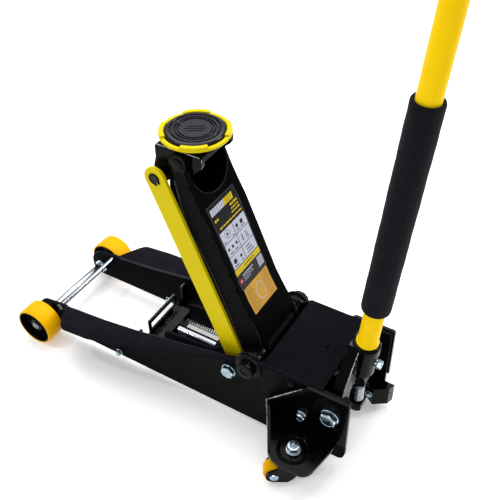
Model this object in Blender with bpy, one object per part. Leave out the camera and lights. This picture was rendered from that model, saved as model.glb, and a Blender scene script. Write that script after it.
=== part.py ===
"""Hydraulic trolley jack, raised, with its handle upright.

Millimetres are used throughout, measured from the front axle (x), the middle plane (y) and the
floor (z). place() turns them into metres around the middle of the jack's footprint.
"""
import math

import bmesh
import bpy
from mathutils import Matrix, Vector

for old in list(bpy.data.objects):
    bpy.data.objects.remove(old, do_unlink=True)

MM = 0.001
MID_X = 335.5           # front axle to the middle of the bounding box

# front axle and wheels
WHEEL_R = 38.5
WHEEL_IN = 91.0
WHEEL_OUT = 129.0
AXLE_R = 8.0
# chassis plates
WEB_IN = 76.0
WEB_OUT = 82.0
LIP_OUT = 83.0
PLATE_Z = 13.0
FLANGE_T = 5.0
# lift arm
PIVOT = (450.0, 150.0)
ARM_TOP = (320.0, 476.0)
ARM_HALF = 48.5
ARM_T = 6.0
SHAFT_R = 15.0
LEVER = 70.0
SWING = 75.0            # degrees between the raised and the lowered arm
# levelling bars, parallel to the arm
BAR_TOP = (282.0, 443.0)
BAR_Y = (53.0, 59.0)
BAR_HALF = 18.5
# saddle
SADDLE_X = 319.0
SADDLE_Z = 509.0
# ram
RAM_Z = 46.0
RAM_R = 11.0
HEAD_X = 226.0
# rear
COVER_X = (477.0, 581.0)
COVER_Z = (168.0, 172.0)
CASTER = (563.0, 136.5)
CASTER_R = 18.0
TRAIL = 30.0
CASTER_TURN = 210.0     # degrees, the way the near caster trails as shown
SHELF_Z = (66.0, 72.0)
BRACKET_Y = (83.4, 89.4)
# pump plunger
PLUNGER_X = 609.0
# handle
YOKE = (600.0, 128.0)
LEAN = 4.65             # degrees the handle leans back from upright
HANDLE_R = 16.0
HANDLE_END = 1030.0

GAP = 0.35


def material(name, colour, rough, metal):
    m = bpy.data.materials.new(name)
    m.use_nodes = True
    shader = m.node_tree.nodes["Principled BSDF"]
    shader.inputs["Base Color"].default_value = (*colour, 1.0)
    shader.inputs["Roughness"].default_value = rough
    shader.inputs["Metallic"].default_value = metal
    return m


BLACK = (0.012, 0.012, 0.014)
CHARCOAL = (0.035, 0.034, 0.038)
YELLOW = (0.86, 0.70, 0.015)
AMBER = (0.90, 0.50, 0.01)
ZINC = (0.55, 0.62, 0.66)
CHROME = (0.80, 0.82, 0.85)
RUBBER = (0.030, 0.030, 0.034)
FOAM = (0.022, 0.022, 0.025)

FINISH = {
    "black": (BLACK, 0.22, 0.0),
    "charcoal": (CHARCOAL, 0.42, 0.0),
    "yellow": (YELLOW, 0.30, 0.0),
    "amber": (AMBER, 0.35, 0.0),
    "zinc": (ZINC, 0.30, 1.0),
    "chrome": (CHROME, 0.10, 1.0),
    "rubber": (RUBBER, 0.65, 0.0),
    "foam": (FOAM, 0.90, 0.0),
    "plastic": (BLACK, 0.45, 0.0),
}


def place(x, y, z):
    return Vector(((x - MID_X) * MM, y * MM, z * MM))


def finish_object(name, bm, origin, finish, smooth=False):
    """Turn a bmesh in millimetres into an object whose origin is at the given point."""
    base = Vector(origin)
    for v in bm.verts:
        v.co = (v.co - base) * MM
    bmesh.ops.recalc_face_normals(bm, faces=bm.faces[:])
    mesh = bpy.data.meshes.new(name)
    bm.to_mesh(mesh)
    bm.free()
    ob = bpy.data.objects.new(name, mesh)
    bpy.context.scene.collection.objects.link(ob)
    ob.location = place(*origin)
    if finish is not None:
        mesh.materials.append(material(name, *FINISH[finish]))
    if smooth:
        for poly in mesh.polygons:
            poly.use_smooth = len(poly.vertices) < 5
    return ob


def arc(cx, cy, r, a0, a1, n):
    """Points on an arc from angle a0 to a1 in degrees."""
    out = []
    for i in range(n + 1):
        a = math.radians(a0 + (a1 - a0) * i / n)
        out.append((cx + r * math.cos(a), cy + r * math.sin(a)))
    return out


def add_prism(bm, outline, low, high, at=(0, 0, 0), u=(1, 0, 0), v=(0, 0, 1), w=(0, 1, 0)):
    """Extrude a flat outline, drawn along u and v, from low to high along w."""
    at, u, v, w = Vector(at), Vector(u), Vector(v), Vector(w)
    rows = []
    for h in (low, high):
        rows.append([bm.verts.new(at + u * a + v * b + w * h) for a, b in outline])
    bm.faces.new(rows[0])
    bm.faces.new(rows[1][::-1])
    n = len(outline)
    for i in range(n):
        j = (i + 1) % n
        bm.faces.new((rows[0][j], rows[0][i], rows[1][i], rows[1][j]))


def prism(name, outline, low, high, origin, finish, **axes):
    bm = bmesh.new()
    add_prism(bm, outline, low, high, **axes)
    return finish_object(name, bm, origin, finish)


def box(name, lo, hi, origin, finish):
    outline = [(lo[0], lo[2]), (hi[0], lo[2]), (hi[0], hi[2]), (lo[0], hi[2])]
    return prism(name, outline, lo[1], hi[1], origin, finish)


def hex_radius(flats, angle):
    step = math.radians(60)
    return flats / 2 / math.cos(angle % step - step / 2)


def add_turned(bm, rings, at, axis, closed=False, segs=12):
    """Stack rings (height, radius) along an axis. A negative radius is a hexagon's flats / 2.

    closed joins the last ring to the first, for a body with a bore.
    """
    turn = Vector((0, 0, 1)).rotation_difference(Vector(axis).normalized()).to_matrix()
    at = Vector(at)
    rows = []
    for h, r in rings:
        if r == 0:
            rows.append([bm.verts.new(at + turn @ Vector((0, 0, h)))])
            continue
        row = []
        for i in range(segs):
            a = 2 * math.pi * i / segs
            rr = r if r > 0 else hex_radius(-2 * r, a)
            row.append(bm.verts.new(at + turn @ Vector((rr * math.cos(a), rr * math.sin(a), h))))
        rows.append(row)
    if not closed:
        for k in (0, -1):
            if len(rows[k]) > 1:
                bm.faces.new(rows[k])
    count = len(rows) if closed else len(rows) - 1
    for k in range(count):
        a, b = rows[k], rows[(k + 1) % len(rows)]
        for i in range(segs):
            j = (i + 1) % segs
            if len(a) == 1 and len(b) == 1:
                continue
            if len(a) == 1:
                bm.faces.new((a[0], b[i], b[j]))
            elif len(b) == 1:
                bm.faces.new((a[i], a[j], b[0]))
            else:
                bm.faces.new((a[i], a[j], b[j], b[i]))


def turned(name, rings, at, axis, finish, origin=None, closed=False, segs=12):
    bm = bmesh.new()
    add_turned(bm, rings, at, axis, closed, segs)
    return finish_object(name, bm, origin or at, finish, smooth=True)


def boolean(ob, tool, operation="DIFFERENCE"):
    tool.hide_render = True
    tool.display_type = "WIRE"
    mod = ob.modifiers.new(operation.title(), "BOOLEAN")
    mod.operation = operation
    mod.solver = "EXACT"
    mod.object = tool
    return mod


def drill(ob, holes, segs=12):
    """Bore holes, each (point, axis, radius, half length), with one cutter."""
    bm = bmesh.new()
    for at, axis, r, half in holes:
        corner = r / math.cos(math.pi / segs)
        add_turned(bm, [(-half, corner), (half, corner)], at, axis, segs=segs)
    cutter = finish_object(ob.name + "_holes", bm, (0, 0, 0), None)
    boolean(ob, cutter)


def coil(name, start, end, r, wire, turns, finish, origin, sides=6, steps=12):
    """A closed round-wire helix between two points."""
    a, b = Vector(start), Vector(end)
    along = (b - a).normalized()
    turn = Vector((0, 0, 1)).rotation_difference(along).to_matrix()
    length = (b - a).length
    n = int(turns * steps)
    bm = bmesh.new()
    rows = []
    for k in range(n + 1):
        t = 2 * math.pi * turns * k / n
        centre = Vector((r * math.cos(t), r * math.sin(t), length * k / n))
        tangent = Vector((-math.sin(t) * r, math.cos(t) * r, length / (2 * math.pi * turns)))
        tangent.normalize()
        out = Vector((math.cos(t), math.sin(t), 0))
        side = tangent.cross(out)
        row = []
        for i in range(sides):
            q = 2 * math.pi * i / sides
            p = centre + out * (wire * math.cos(q)) + side * (wire * math.sin(q))
            row.append(bm.verts.new(a + turn @ p))
        rows.append(row)
    for row, nxt in zip(rows, rows[1:]):
        for i in range(sides):
            j = (i + 1) % sides
            bm.faces.new((row[i], row[j], nxt[j], nxt[i]))
    bm.faces.new(rows[0])
    bm.faces.new(rows[-1])
    return finish_object(name, bm, origin, finish, smooth=True)


# ---------------------------------------------------------------- chassis

# x, bottom z, top z, flange edge y along a side plate
STATIONS = [
    (-25, 33, 44, LIP_OUT), (-22, 24, 55, LIP_OUT), (-14, 16, 65, LIP_OUT), (-4, 13, 71, LIP_OUT),
    (46, 13, 78.5, LIP_OUT), (58, 13, 80, 104), (70, 13, 81.8, 121), (82, 13, 83.2, 130),
    (140, 13, 90, 130), (213, 13, 102.5, 122), (290, 13, 120, 106), (350, 13, 134, 96),
    (395, 13, 144, 88), (420, 13, 151, LIP_OUT), (476, 13, 167.6, LIP_OUT), (516, 13, 167.6, LIP_OUT),
    (520, 56, 167.6, LIP_OUT), (588, 56, 167.6, LIP_OUT), (594, 26, 167.6, LIP_OUT),
    (604, 20, 167.6, LIP_OUT), (616, 20, 167.6, LIP_OUT), (623, 24, 167.6, LIP_OUT),
    (627, 34, 167.6, LIP_OUT),
]


def side_plate(name, side):
    bm = bmesh.new()
    rows = []
    for x, low, top, edge in STATIONS:
        section = [(WEB_IN, low), (WEB_IN, top), (edge, top), (edge, top - FLANGE_T),
                   (WEB_OUT, top - FLANGE_T), (WEB_OUT, low)]
        rows.append([bm.verts.new((x, side * y, z)) for y, z in section])
    for a, b in zip(rows, rows[1:]):
        for i in range(6):
            j = (i + 1) % 6
            bm.faces.new((a[i], a[j], b[j], b[i]))
    bm.faces.new(rows[0])
    bm.faces.new(rows[-1])
    ob = finish_object(name, bm, (0, side * WEB_IN, 0), "charcoal")
    mid = side * 79
    bar = bar_bottom()
    drill(ob, [
        ((0, mid, WHEEL_R), (0, 1, 0), AXLE_R + GAP, 8),
        ((32, mid, 70), (0, 1, 0), 4 + GAP, 8),
        ((PIVOT[0], mid, PIVOT[1]), (0, 1, 0), SHAFT_R + GAP, 8),
        ((bar[0], mid, bar[1]), (0, 1, 0), 7 + GAP, 8),
        ((YOKE[0], mid, YOKE[1]), (0, 1, 0), 9 + GAP, 8),
        ((552, mid, 100), (0, 1, 0), 5 + GAP, 8),
        ((528, mid, 154), (0, 1, 0), 4 + GAP, 8),
    ])
    return ob


def bar_bottom():
    return (PIVOT[0] + BAR_TOP[0] - ARM_TOP[0], PIVOT[1] + BAR_TOP[1] - ARM_TOP[1])


for label, side in (("near", -1), ("far", 1)):
    side_plate(label + "_side_plate", side)

# front axle, spacer and washers between the plates, and the thin rod behind the axle
turned("front_axle", [(-124, 0), (-124, 7), (-123, AXLE_R), (123, AXLE_R), (124, 7), (124, 0)],
       (0, 0, WHEEL_R), (0, 1, 0), "zinc")
turned("axle_spacer", [(-70, 9.9), (70, 9.9), (70, AXLE_R + GAP), (-70, AXLE_R + GAP)],
       (0, 0, WHEEL_R), (0, 1, 0), "zinc", closed=True)
for label, side in (("near", -1), ("far", 1)):
    turned(label + "_axle_nut",
           [(-2.6, -13.0), (2.6, -13.0), (2.6, AXLE_R + GAP), (-2.6, AXLE_R + GAP)],
           (0, side * 73, WHEEL_R), (0, 1, 0), "zinc", closed=True)
turned("front_tie_rod", [(-84, 0), (-84, 4), (84, 4), (84, 0)], (32, 0, 70), (0, 1, 0), "chrome")

# cross member the lowered arm rests over; notched for the levelling bars
rest = [(-75.7, 30), (75.7, 30), (75.7, 87), (61.5, 87), (61.5, 58), (41.3, 58), (41.3, 87),
        (-41.3, 87), (-41.3, 58), (-61.5, 58), (-61.5, 87), (-75.7, 87)]
member = prism("cross_member", rest, 210, 214, (212, 0, 30), "black", u=(0, 1, 0), w=(1, 0, 0))
bm = bmesh.new()
add_prism(bm, [(-36, 64), (36, 64), (36, 80), (-36, 80)], 205, 220, u=(0, 1, 0), w=(1, 0, 0))
boolean(member, finish_object("cross_member_window", bm, (212, 0, 72), None))

# rear cover
cover = box("cover_plate", (COVER_X[0], -81.5, COVER_Z[0]), (COVER_X[1], 81.5, COVER_Z[1]),
            (529, 0, 170), "charcoal")
drill(cover, [((549, 0, 170), (0, 0, 1), 2.6, 6)])

# pivot shaft of the arm, in both plates
turned("pivot_shaft", [(-97, 0), (-97, 12.5), (-95, SHAFT_R), (-91, SHAFT_R), (-90.8, 13.6),
                       (-88.6, 13.6), (-88.4, SHAFT_R), (88.4, SHAFT_R), (88.6, 13.6), (90.8, 13.6),
                       (91, SHAFT_R), (95, SHAFT_R), (97, 12.5), (97, 0)],
       (PIVOT[0], 0, PIVOT[1]), (0, 1, 0), "black", segs=20)


def bolt(name, at, side, flats, head, washer, shank_r, shank, finish="zinc"):
    """A flanged hex bolt whose flange sits at y = at[1], with its shank pointing inwards."""
    rings = [(-shank, 0), (-shank, shank_r), (0, shank_r), (0, washer), (2.4, washer),
             (2.4, -flats / 2), (head - 1.0, -flats / 2), (head, -flats / 2 + 1.2), (head, 0)]
    return turned(name, rings, at, (0, side, 0), finish)


for label, side in (("near", -1), ("far", 1)):
    bar = bar_bottom()
    bolt(label + "_bar_bolt", (bar[0], side * 82.4, bar[1]), side, 21, 13, 13, 7, 30.2)
    turned(label + "_bar_spacer", [(59.5, 12), (75.6, 12), (75.6, 7 + GAP), (59.5, 7 + GAP)],
           (bar[0], 0, bar[1]), (0, side, 0), "black", closed=True)
    bolt(label + "_yoke_bolt", (YOKE[0], side * 89.8, YOKE[1]), side, 24, 14, 15, 9, 33.5)
    bolt(label + "_bracket_bolt", (552, side * 89.8, 100), side, 14, 8, 9, 5, 24)
    bolt(label + "_cover_bolt", (528, side * 82.4, 154), side, 10, 5, 6.5, 4, 12, "black")

# pump block with the cylinder in front of it
core = box("pump_block", (540, -34, 22), (584, 34, 66), (562, 0, 44), "black")
bm = bmesh.new()
add_prism(bm, [(544, 58), (584, 58), (584, 104), (576, 112), (544, 112)], -75.5, 75.5)
boolean(core, finish_object("pump_block_ears", bm, (564, 0, 85), None), "UNION")
bm = bmesh.new()
add_prism(bm, [(580, 60), (612, 60), (620, 66), (620, 78), (580, 78)], -12, 12)
boolean(core, finish_object("pump_block_nose", bm, (600, 0, 69), None), "UNION")
bm = bmesh.new()
lug_plan = [(566, 20), (588, 48), (606, 57), (620, 48), (642, 63), (646, 75.4), (566, 75.4)]
add_prism(bm, lug_plan, 14, 54, u=(1, 0, 0), v=(0, 1, 0), w=(0, 0, 1))
boolean(core, finish_object("pump_block_lug", bm, (606, 60, 34), None), "UNION")
drill(core, [((552, -68, 100), (0, 1, 0), 5 + GAP, 10), ((552, 68, 100), (0, 1, 0), 5 + GAP, 10),
             ((PLUNGER_X, 0, 70), (0, 0, 1), 5.5 + GAP, 20), ((564, 0, 110), (0, 0, 1), 5 + GAP, 14)])
turned("cylinder_tube", [(515, 0), (515, 11.4), (346, 11.4), (345, 12.6), (334, 12.6), (334, 18),
                         (338, 21), (539.7, 21), (539.7, 0)],
       (0, 0, RAM_Z), (1, 0, 0), "black", segs=22)


def caster_bracket(label, side):
    """Plate bolted to the side plate, a shelf for the caster and a rib at its front."""
    bm = bmesh.new()
    wall = [(486, 66), (486, 95), (550, 162), (558, 169.5), (628, 169.5), (630, 164), (630, 66)]
    add_prism(bm, wall, side * BRACKET_Y[0], side * BRACKET_Y[1])
    ob = finish_object(label + "_caster_bracket", bm, (CASTER[0], side * BRACKET_Y[1], 69), "black")
    shelf = bmesh.new()
    outline = [(486, 85), (616, 85), (615, 110), (607, 152)] + arc(586, 151, 21, 10, 90, 6) \
        + [(556, 172), (541, 169), (530, 161)]
    add_prism(shelf, outline, SHELF_Z[0], SHELF_Z[1], u=(1, 0, 0), v=(0, side, 0), w=(0, 0, 1))
    boolean(ob, finish_object(ob.name + "_shelf", shelf, (0, 0, 0), None), "UNION")
    slant = Vector((44, side * 75, 0)).normalized()
    across = Vector((slant.y * side, -slant.x * side, 0))
    rib = bmesh.new()
    add_prism(rib, [(0.5, 68), (85, 68), (85, 74), (0.6, 94)], 0.3, 5.3,
              at=(486, side * 86, 0), u=slant, v=(0, 0, 1), w=across)
    boolean(ob, finish_object(ob.name + "_rib", rib, (0, 0, 0), None), "UNION")
    drill(ob, [((CASTER[0], side * CASTER[1], 69), (0, 0, 1), 6 + GAP, 8),
               ((YOKE[0], side * 86.4, YOKE[1]), (0, 1, 0), 9 + GAP, 8),
               ((552, side * 86.4, 100), (0, 1, 0), 5 + GAP, 8)])
    return ob


for label, side in (("near", -1), ("far", 1)):
    caster_bracket(label, side)

# ---------------------------------------------------------------- lift arm

length = math.dist(PIVOT, ARM_TOP)
UX = (ARM_TOP[0] - PIVOT[0]) / length
UZ = (ARM_TOP[1] - PIVOT[1]) / length
ALONG = (UX, 0, UZ)
ACROSS = (UZ, 0, -UX)
PIVOT_3D = (PIVOT[0], 0, PIVOT[1])
half_swing = math.radians(SWING / 2)
LEVER_PIN = (PIVOT[0] - LEVER * math.sin(half_swing), PIVOT[1] - LEVER * math.cos(half_swing))
arm_axes = {"at": PIVOT_3D, "u": ALONG, "v": ACROSS, "w": (0, 1, 0)}


def in_arm(x, z):
    dx, dz = x - PIVOT[0], z - PIVOT[1]
    return dx * UX + dz * UZ, dx * UZ - dz * UX


ps, pt = in_arm(*LEVER_PIN)
lug = math.degrees(math.atan2(pt, ps))
arm_side = arc(ps, pt, 17, lug - 90, lug + 90, 10)
arm_side += [(40, -47), (110, -46), (290, -46), (length - 8, -18)]
arm_side += arc(length, 0, 16, -95, 90, 8)
arm_side += [(335, 8), (290, 8), (240, 12), (100, 14), (50, 20)]
arm_side += arc(0, 0, 26, 60, lug + 270, 8)
arm = prism("lift_arm", arm_side, -ARM_HALF, ARM_HALF, PIVOT_3D, "black", **arm_axes)
# inside of the channel, which leaves a cross web between the walls below the notch
inside = [(-100, -110), (249, -110), (249, -42), (291, -42), (291, -110), (400, -110), (400, 2), (290, 2),
          (240, 6), (100, 8), (50, 14), (24, 17), (4, 60), (-100, 60)]
wall = ARM_HALF - ARM_T
bm = bmesh.new()
add_prism(bm, inside, -wall, wall, **arm_axes)
boolean(arm, finish_object("lift_arm_inside", bm, PIVOT_3D, None))
bm = bmesh.new()
add_turned(bm, [(-ARM_HALF + 1, 23), (ARM_HALF - 1, 23)], PIVOT_3D, (0, 1, 0), segs=24)
boolean(arm, finish_object("lift_arm_hub", bm, PIVOT_3D, None), "UNION")
notch = [(length - 33 + 36.2 * u, 42.2 * v) for u, v in arc(0, 0, 1, 90, 270, 12)]
notch += [(420, -42.2), (420, 42.2)]
bm = bmesh.new()
add_prism(bm, notch, -6, 60, at=PIVOT_3D, u=ALONG, v=(0, 1, 0), w=ACROSS)
boolean(arm, finish_object("lift_arm_notch", bm, PIVOT_3D, None))
drill(arm, [(PIVOT_3D, (0, 1, 0), SHAFT_R + GAP, 70),
            ((LEVER_PIN[0], 0, LEVER_PIN[1]), (0, 1, 0), 8 + GAP, 70),
            ((ARM_TOP[0], 0, ARM_TOP[1]), (0, 1, 0), 8 + GAP, 70)], segs=20)

turned("drive_pin", [(-51.1, 0), (-51.1, 7), (-50.5, 8), (50.5, 8), (51.1, 7), (51.1, 0)],
       (LEVER_PIN[0], 0, LEVER_PIN[1]), (0, 1, 0), "zinc")
turned("cradle_pin", [(-51.1, 0), (-51.1, 10), (-48.9, 11), (-48.9, 8), (48.9, 8), (48.9, 11),
                      (51.1, 10), (51.1, 0)],
       (ARM_TOP[0], 0, ARM_TOP[1]), (0, 1, 0), "black")

# ---------------------------------------------------------------- saddle

cradle_side = [(274, 489), (277, 492), (354, 492), (357, 489), (357, 478), (345, 466), (338, 458)]
cradle_side += arc(ARM_TOP[0], ARM_TOP[1], 19, -40, -100, 6)
cradle_side += arc(BAR_TOP[0], BAR_TOP[1], 15, -40, -170, 10)
cradle_side += [(270, 458)]
cradle = prism("saddle_cradle", cradle_side, -41, 41, (ARM_TOP[0], 0, ARM_TOP[1]), "black")
bm = bmesh.new()
add_prism(bm, [(200, 380), (420, 380), (420, 486), (200, 486)], -35, 35)
boolean(cradle, finish_object("saddle_cradle_inside", bm, (0, 0, 0), None))
drill(cradle, [((ARM_TOP[0], 0, ARM_TOP[1]), (0, 1, 0), 8 + GAP, 60),
               ((BAR_TOP[0], 0, BAR_TOP[1]), (0, 1, 0), 7 + GAP, 60),
               ((SADDLE_X, 0, 489), (0, 0, 1), 9 + GAP, 12)])

# cup with four raised lugs round the rubber pad, and its stem in the cradle
cup = turned("saddle_cup", [(484.7, 0), (484.7, 9), (492.3, 9), (492.3, 30), (496, 44), (499, 50),
                            (501, 53.5), (505, 53.5), (505, 46.5), (500, 46.5), (500, 0)],
             (SADDLE_X, 0, 0), (0, 0, 1), "yellow", origin=(SADDLE_X, 0, 492), segs=30)
bm = bmesh.new()
for middle in (31.6, 121.6, 211.6, 301.6):
    outline = arc(0, 0, 53.3, middle - 23, middle + 23, 5) + arc(0, 0, 46.8, middle + 23, middle - 23, 5)
    add_prism(bm, outline, 504, 508.5, at=(SADDLE_X, 0, 0), u=(1, 0, 0), v=(0, 1, 0), w=(0, 0, 1))
boolean(cup, finish_object("saddle_cup_lugs", bm, (SADDLE_X, 0, 492), None), "UNION")
turned("saddle_pad", [(500.3, 0), (500.3, 46), (505.5, 46), (508, 44), (509, 42.5), (509, 38),
                      (507.8, 37.4), (507.8, 35.6), (509, 35), (509, 0)],
       (SADDLE_X, 0, 0), (0, 0, 1), "rubber", origin=(SADDLE_X, 0, 500), segs=30)

# ---------------------------------------------------------------- levelling bars


def levelling_bar(label, side):
    low = bar_bottom()
    lean = math.degrees(math.atan2(BAR_TOP[1] - low[1], BAR_TOP[0] - low[0]))
    outline = arc(BAR_TOP[0], BAR_TOP[1], BAR_HALF, lean - 90, lean + 90, 12)
    outline += arc(low[0], low[1], BAR_HALF, lean + 90, lean + 270, 12)
    ob = prism(label + "_levelling_bar", outline, side * BAR_Y[0], side * BAR_Y[1],
               (low[0], side * 56, low[1]), "yellow")
    drill(ob, [((BAR_TOP[0], side * 56, BAR_TOP[1]), (0, 1, 0), 7 + GAP, 8),
               ((low[0], side * 56, low[1]), (0, 1, 0), 7 + GAP, 8)])
    turned(label + "_bar_pin", [(31.5, 0), (31.5, 10), (34.6, 10), (34.6, 7), (59.4, 7), (59.4, 9.5),
                                (61.2, 9.5), (61.2, 7), (62.6, 6.4), (62.6, 0)],
           (BAR_TOP[0], 0, BAR_TOP[1]), (0, side, 0), "zinc")


for label, side in (("near", -1), ("far", 1)):
    levelling_bar(label, side)

# ---------------------------------------------------------------- ram

crosshead = box("ram_crosshead", (HEAD_X, -43, 31), (HEAD_X + 20, 43, 61), (HEAD_X, 0, RAM_Z), "black")
bm = bmesh.new()
for y in (-27, 27):
    add_turned(bm, [(HEAD_X - 7, -6.0), (HEAD_X + 2, -6.0)], (0, y, 47), (1, 0, 0), segs=12)
boolean(crosshead, finish_object("ram_crosshead_nuts", bm, (HEAD_X, 0, RAM_Z), None), "UNION")
drill(crosshead, [((HEAD_X + 10, 0, RAM_Z), (1, 0, 0), 6 + GAP, 20)])
turned("ram_rod", [(HEAD_X - 9, 0), (HEAD_X - 9, -9.0), (HEAD_X - 0.4, -9.0), (HEAD_X - 0.4, 6),
                   (HEAD_X + 20.4, 6), (HEAD_X + 20.4, RAM_R), (425, RAM_R), (427, 9), (427, 0)],
       (0, 0, RAM_Z), (1, 0, 0), "chrome", segs=22)


def pull_bar(label, side):
    """Bar from the crosshead to the drive pin, which rides in its upright slot."""
    x, z = LEVER_PIN
    top = PIVOT[1] - LEVER
    outline = [(HEAD_X + 20.4, 32), (x - 40, 52), (x - 20, 58), (x + 19, 58), (x + 19, 118), (x - 20, 118),
               (x - 60, 93), (HEAD_X + 34, 84), (HEAD_X + 22, 80), (HEAD_X + 20.4, 72)]
    ob = prism(label + "_pull_bar", outline, side * 36.4, side * 41.6, (x, side * 39, z), "charcoal")
    slot = arc(x, z, 9.8, 0, 180, 10) + arc(x, top, 9.8, 180, 360, 10)
    bm = bmesh.new()
    add_prism(bm, slot, side * 30, side * 50)
    boolean(ob, finish_object(ob.name + "_slot", bm, (0, 0, 0), None))


for label, side in (("near", -1), ("far", 1)):
    pull_bar(label, side)
    coil(label + "_return_spring", (HEAD_X + 21, side * 27, 47), (539.6, side * 27, 47), 4.0, 0.9,
         20, "zinc", (HEAD_X + 20, side * 27, 47), sides=3, steps=5)

# ---------------------------------------------------------------- front wheels


def front_wheel(label, side):
    centre = (0, side * 110, WHEEL_R)
    at = (0, 0, WHEEL_R)
    turned(label + "_wheel_tread",
           [(WHEEL_IN, 35.6), (WHEEL_IN + 2.5, 38.1), (WHEEL_IN + 4, WHEEL_R), (WHEEL_OUT - 2, WHEEL_R),
            (WHEEL_OUT, 37.4), (WHEEL_OUT, 35.6)],
           at, (0, side, 0), "amber", origin=centre, closed=True, segs=30)
    turned(label + "_wheel_hub",
           [(WHEEL_IN + 0.6, 35.3), (WHEEL_OUT - 0.8, 35.3), (WHEEL_OUT - 0.8, 32), (112, 30.5), (112, 13),
            (118, 12), (118, AXLE_R + GAP), (88, AXLE_R + GAP), (88, 13), (106, 14), (106, 30.5),
            (WHEEL_IN + 0.6, 32)],
           at, (0, side, 0), "plastic", origin=centre, closed=True, segs=30)


for label, side in (("near", -1), ("far", 1)):
    front_wheel(label, side)

# ---------------------------------------------------------------- casters


def caster(label, side):
    x, y = CASTER[0], side * CASTER[1]
    turn = math.radians(CASTER_TURN)
    trail = Vector((math.cos(turn), -side * math.sin(turn), 0))
    axle = Vector((-math.sin(turn), -side * math.cos(turn), 0))
    wheel = Vector((x, y, CASTER_R)) + trail * TRAIL
    top = SHELF_Z[0] - 0.4
    cheek = [(-20, 60), (-18, 42), (0, 12), (8, 4)] + arc(TRAIL, CASTER_R, 14, -90, 75, 10)
    cheek += [(TRAIL - 5, 38), (TRAIL - 6, 60)]
    axes = {"at": (x, y, 0), "u": trail, "v": (0, 0, 1), "w": axle}
    fork = prism(label + "_caster_fork", cheek, -15.5, 15.5, (x, y, top), "black", **axes)
    bm = bmesh.new()
    add_prism(bm, [(-40, 0), (80, 0), (80, 54), (-40, 54)], -12, 12, **axes)
    boolean(fork, finish_object(label + "_caster_fork_inside", bm, (x, y, 0), None))
    bm = bmesh.new()
    add_turned(bm, [(54.3, 20), (57, 22), (top - 2, 22), (top, 19), (top, 6), (SHELF_Z[1] + 0.2, 6),
                    (SHELF_Z[1] + 0.2, 4.5), (SHELF_Z[1] + 14, 4.5)], (x, y, 0), (0, 0, 1), segs=24)
    boolean(fork, finish_object(label + "_caster_fork_head", bm, (x, y, 0), None), "UNION")
    drill(fork, [(tuple(wheel), tuple(axle), 4.5 + GAP, 20)], segs=18)
    turned(label + "_caster_nut", [(SHELF_Z[1] + 0.4, 11), (SHELF_Z[1] + 2.6, 11),
                                   (SHELF_Z[1] + 2.6, -9.5), (SHELF_Z[1] + 10.6, -9.5),
                                   (SHELF_Z[1] + 11.4, 8.5), (SHELF_Z[1] + 11.4, 4.5 + GAP),
                                   (SHELF_Z[1] + 0.4, 4.5 + GAP)],
           (x, y, 0), (0, 0, 1), "zinc", closed=True)
    turned(label + "_caster_axle", [(-17.8, 0), (-17.8, 6), (-15.8, 7), (-15.8, 4.5), (15.8, 4.5),
                                    (15.8, 7), (17.8, 6), (17.8, 0)],
           tuple(wheel), tuple(axle), "zinc")
    turned(label + "_caster_wheel", [(-10.5, CASTER_R - 2.5), (-9, CASTER_R), (9, CASTER_R), (10.5, CASTER_R - 2.5),
                                     (10.5, 4.5 + GAP), (-10.5, 4.5 + GAP)],
           tuple(wheel), tuple(axle), "amber", closed=True, segs=24)


for label, side in (("near", -1), ("far", 1)):
    caster(label, side)

# ---------------------------------------------------------------- handle

lean = math.radians(LEAN)
UP = Vector((math.sin(lean), 0, math.cos(lean)))
FOOT = Vector((606, 0, 128))       # point of the handle's axis level with the yoke pivot
SOCKET = (26.0, 91.0)              # socket, along the handle from FOOT

yoke_face = [(-20, 216), (-56, 178), (-72, 156), (-72, 118), (-64, 112), (-52, 112), (-48, 122), (-40, 141),
             (-22, 152), (22, 152), (40, 141), (48, 122), (52, 112), (64, 112), (72, 118), (72, 156),
             (56, 178), (20, 216)]
yoke = prism("handle_yoke", yoke_face, 591, 609, (YOKE[0], 0, YOKE[1]), "black", u=(0, 1, 0),
             w=(1, 0, 0))
bm = bmesh.new()
for side in (-1, 1):
    add_turned(bm, [(50.5, 15), (52, 16), (71, 16), (72.5, 15)], (YOKE[0], 0, YOKE[1]), (0, side, 0), segs=20)
boolean(yoke, finish_object("handle_yoke_bosses", bm, (YOKE[0], 0, YOKE[1]), None), "UNION")
bm = bmesh.new()
add_turned(bm, [(SOCKET[0], 21), (SOCKET[1] - 3, 21), (SOCKET[1], 19.5)], FOOT, UP, segs=22)
boolean(yoke, finish_object("handle_yoke_socket", bm, tuple(FOOT), None), "UNION")
bm = bmesh.new()
add_prism(bm, [(604, 124), (609, 121.6), (616, 121.2), (621, 125), (621, 134), (612, 160), (600, 160), (596, 140)],
          -9, 9)
boolean(yoke, finish_object("handle_yoke_cam", bm, tuple(FOOT), None), "UNION")
drill(yoke, [(tuple(FOOT + UP * 92), tuple(UP), HANDLE_R + 0.4, 48),
             ((YOKE[0], 0, YOKE[1]), (0, 1, 0), 9 + GAP, 80)], segs=22)

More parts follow.
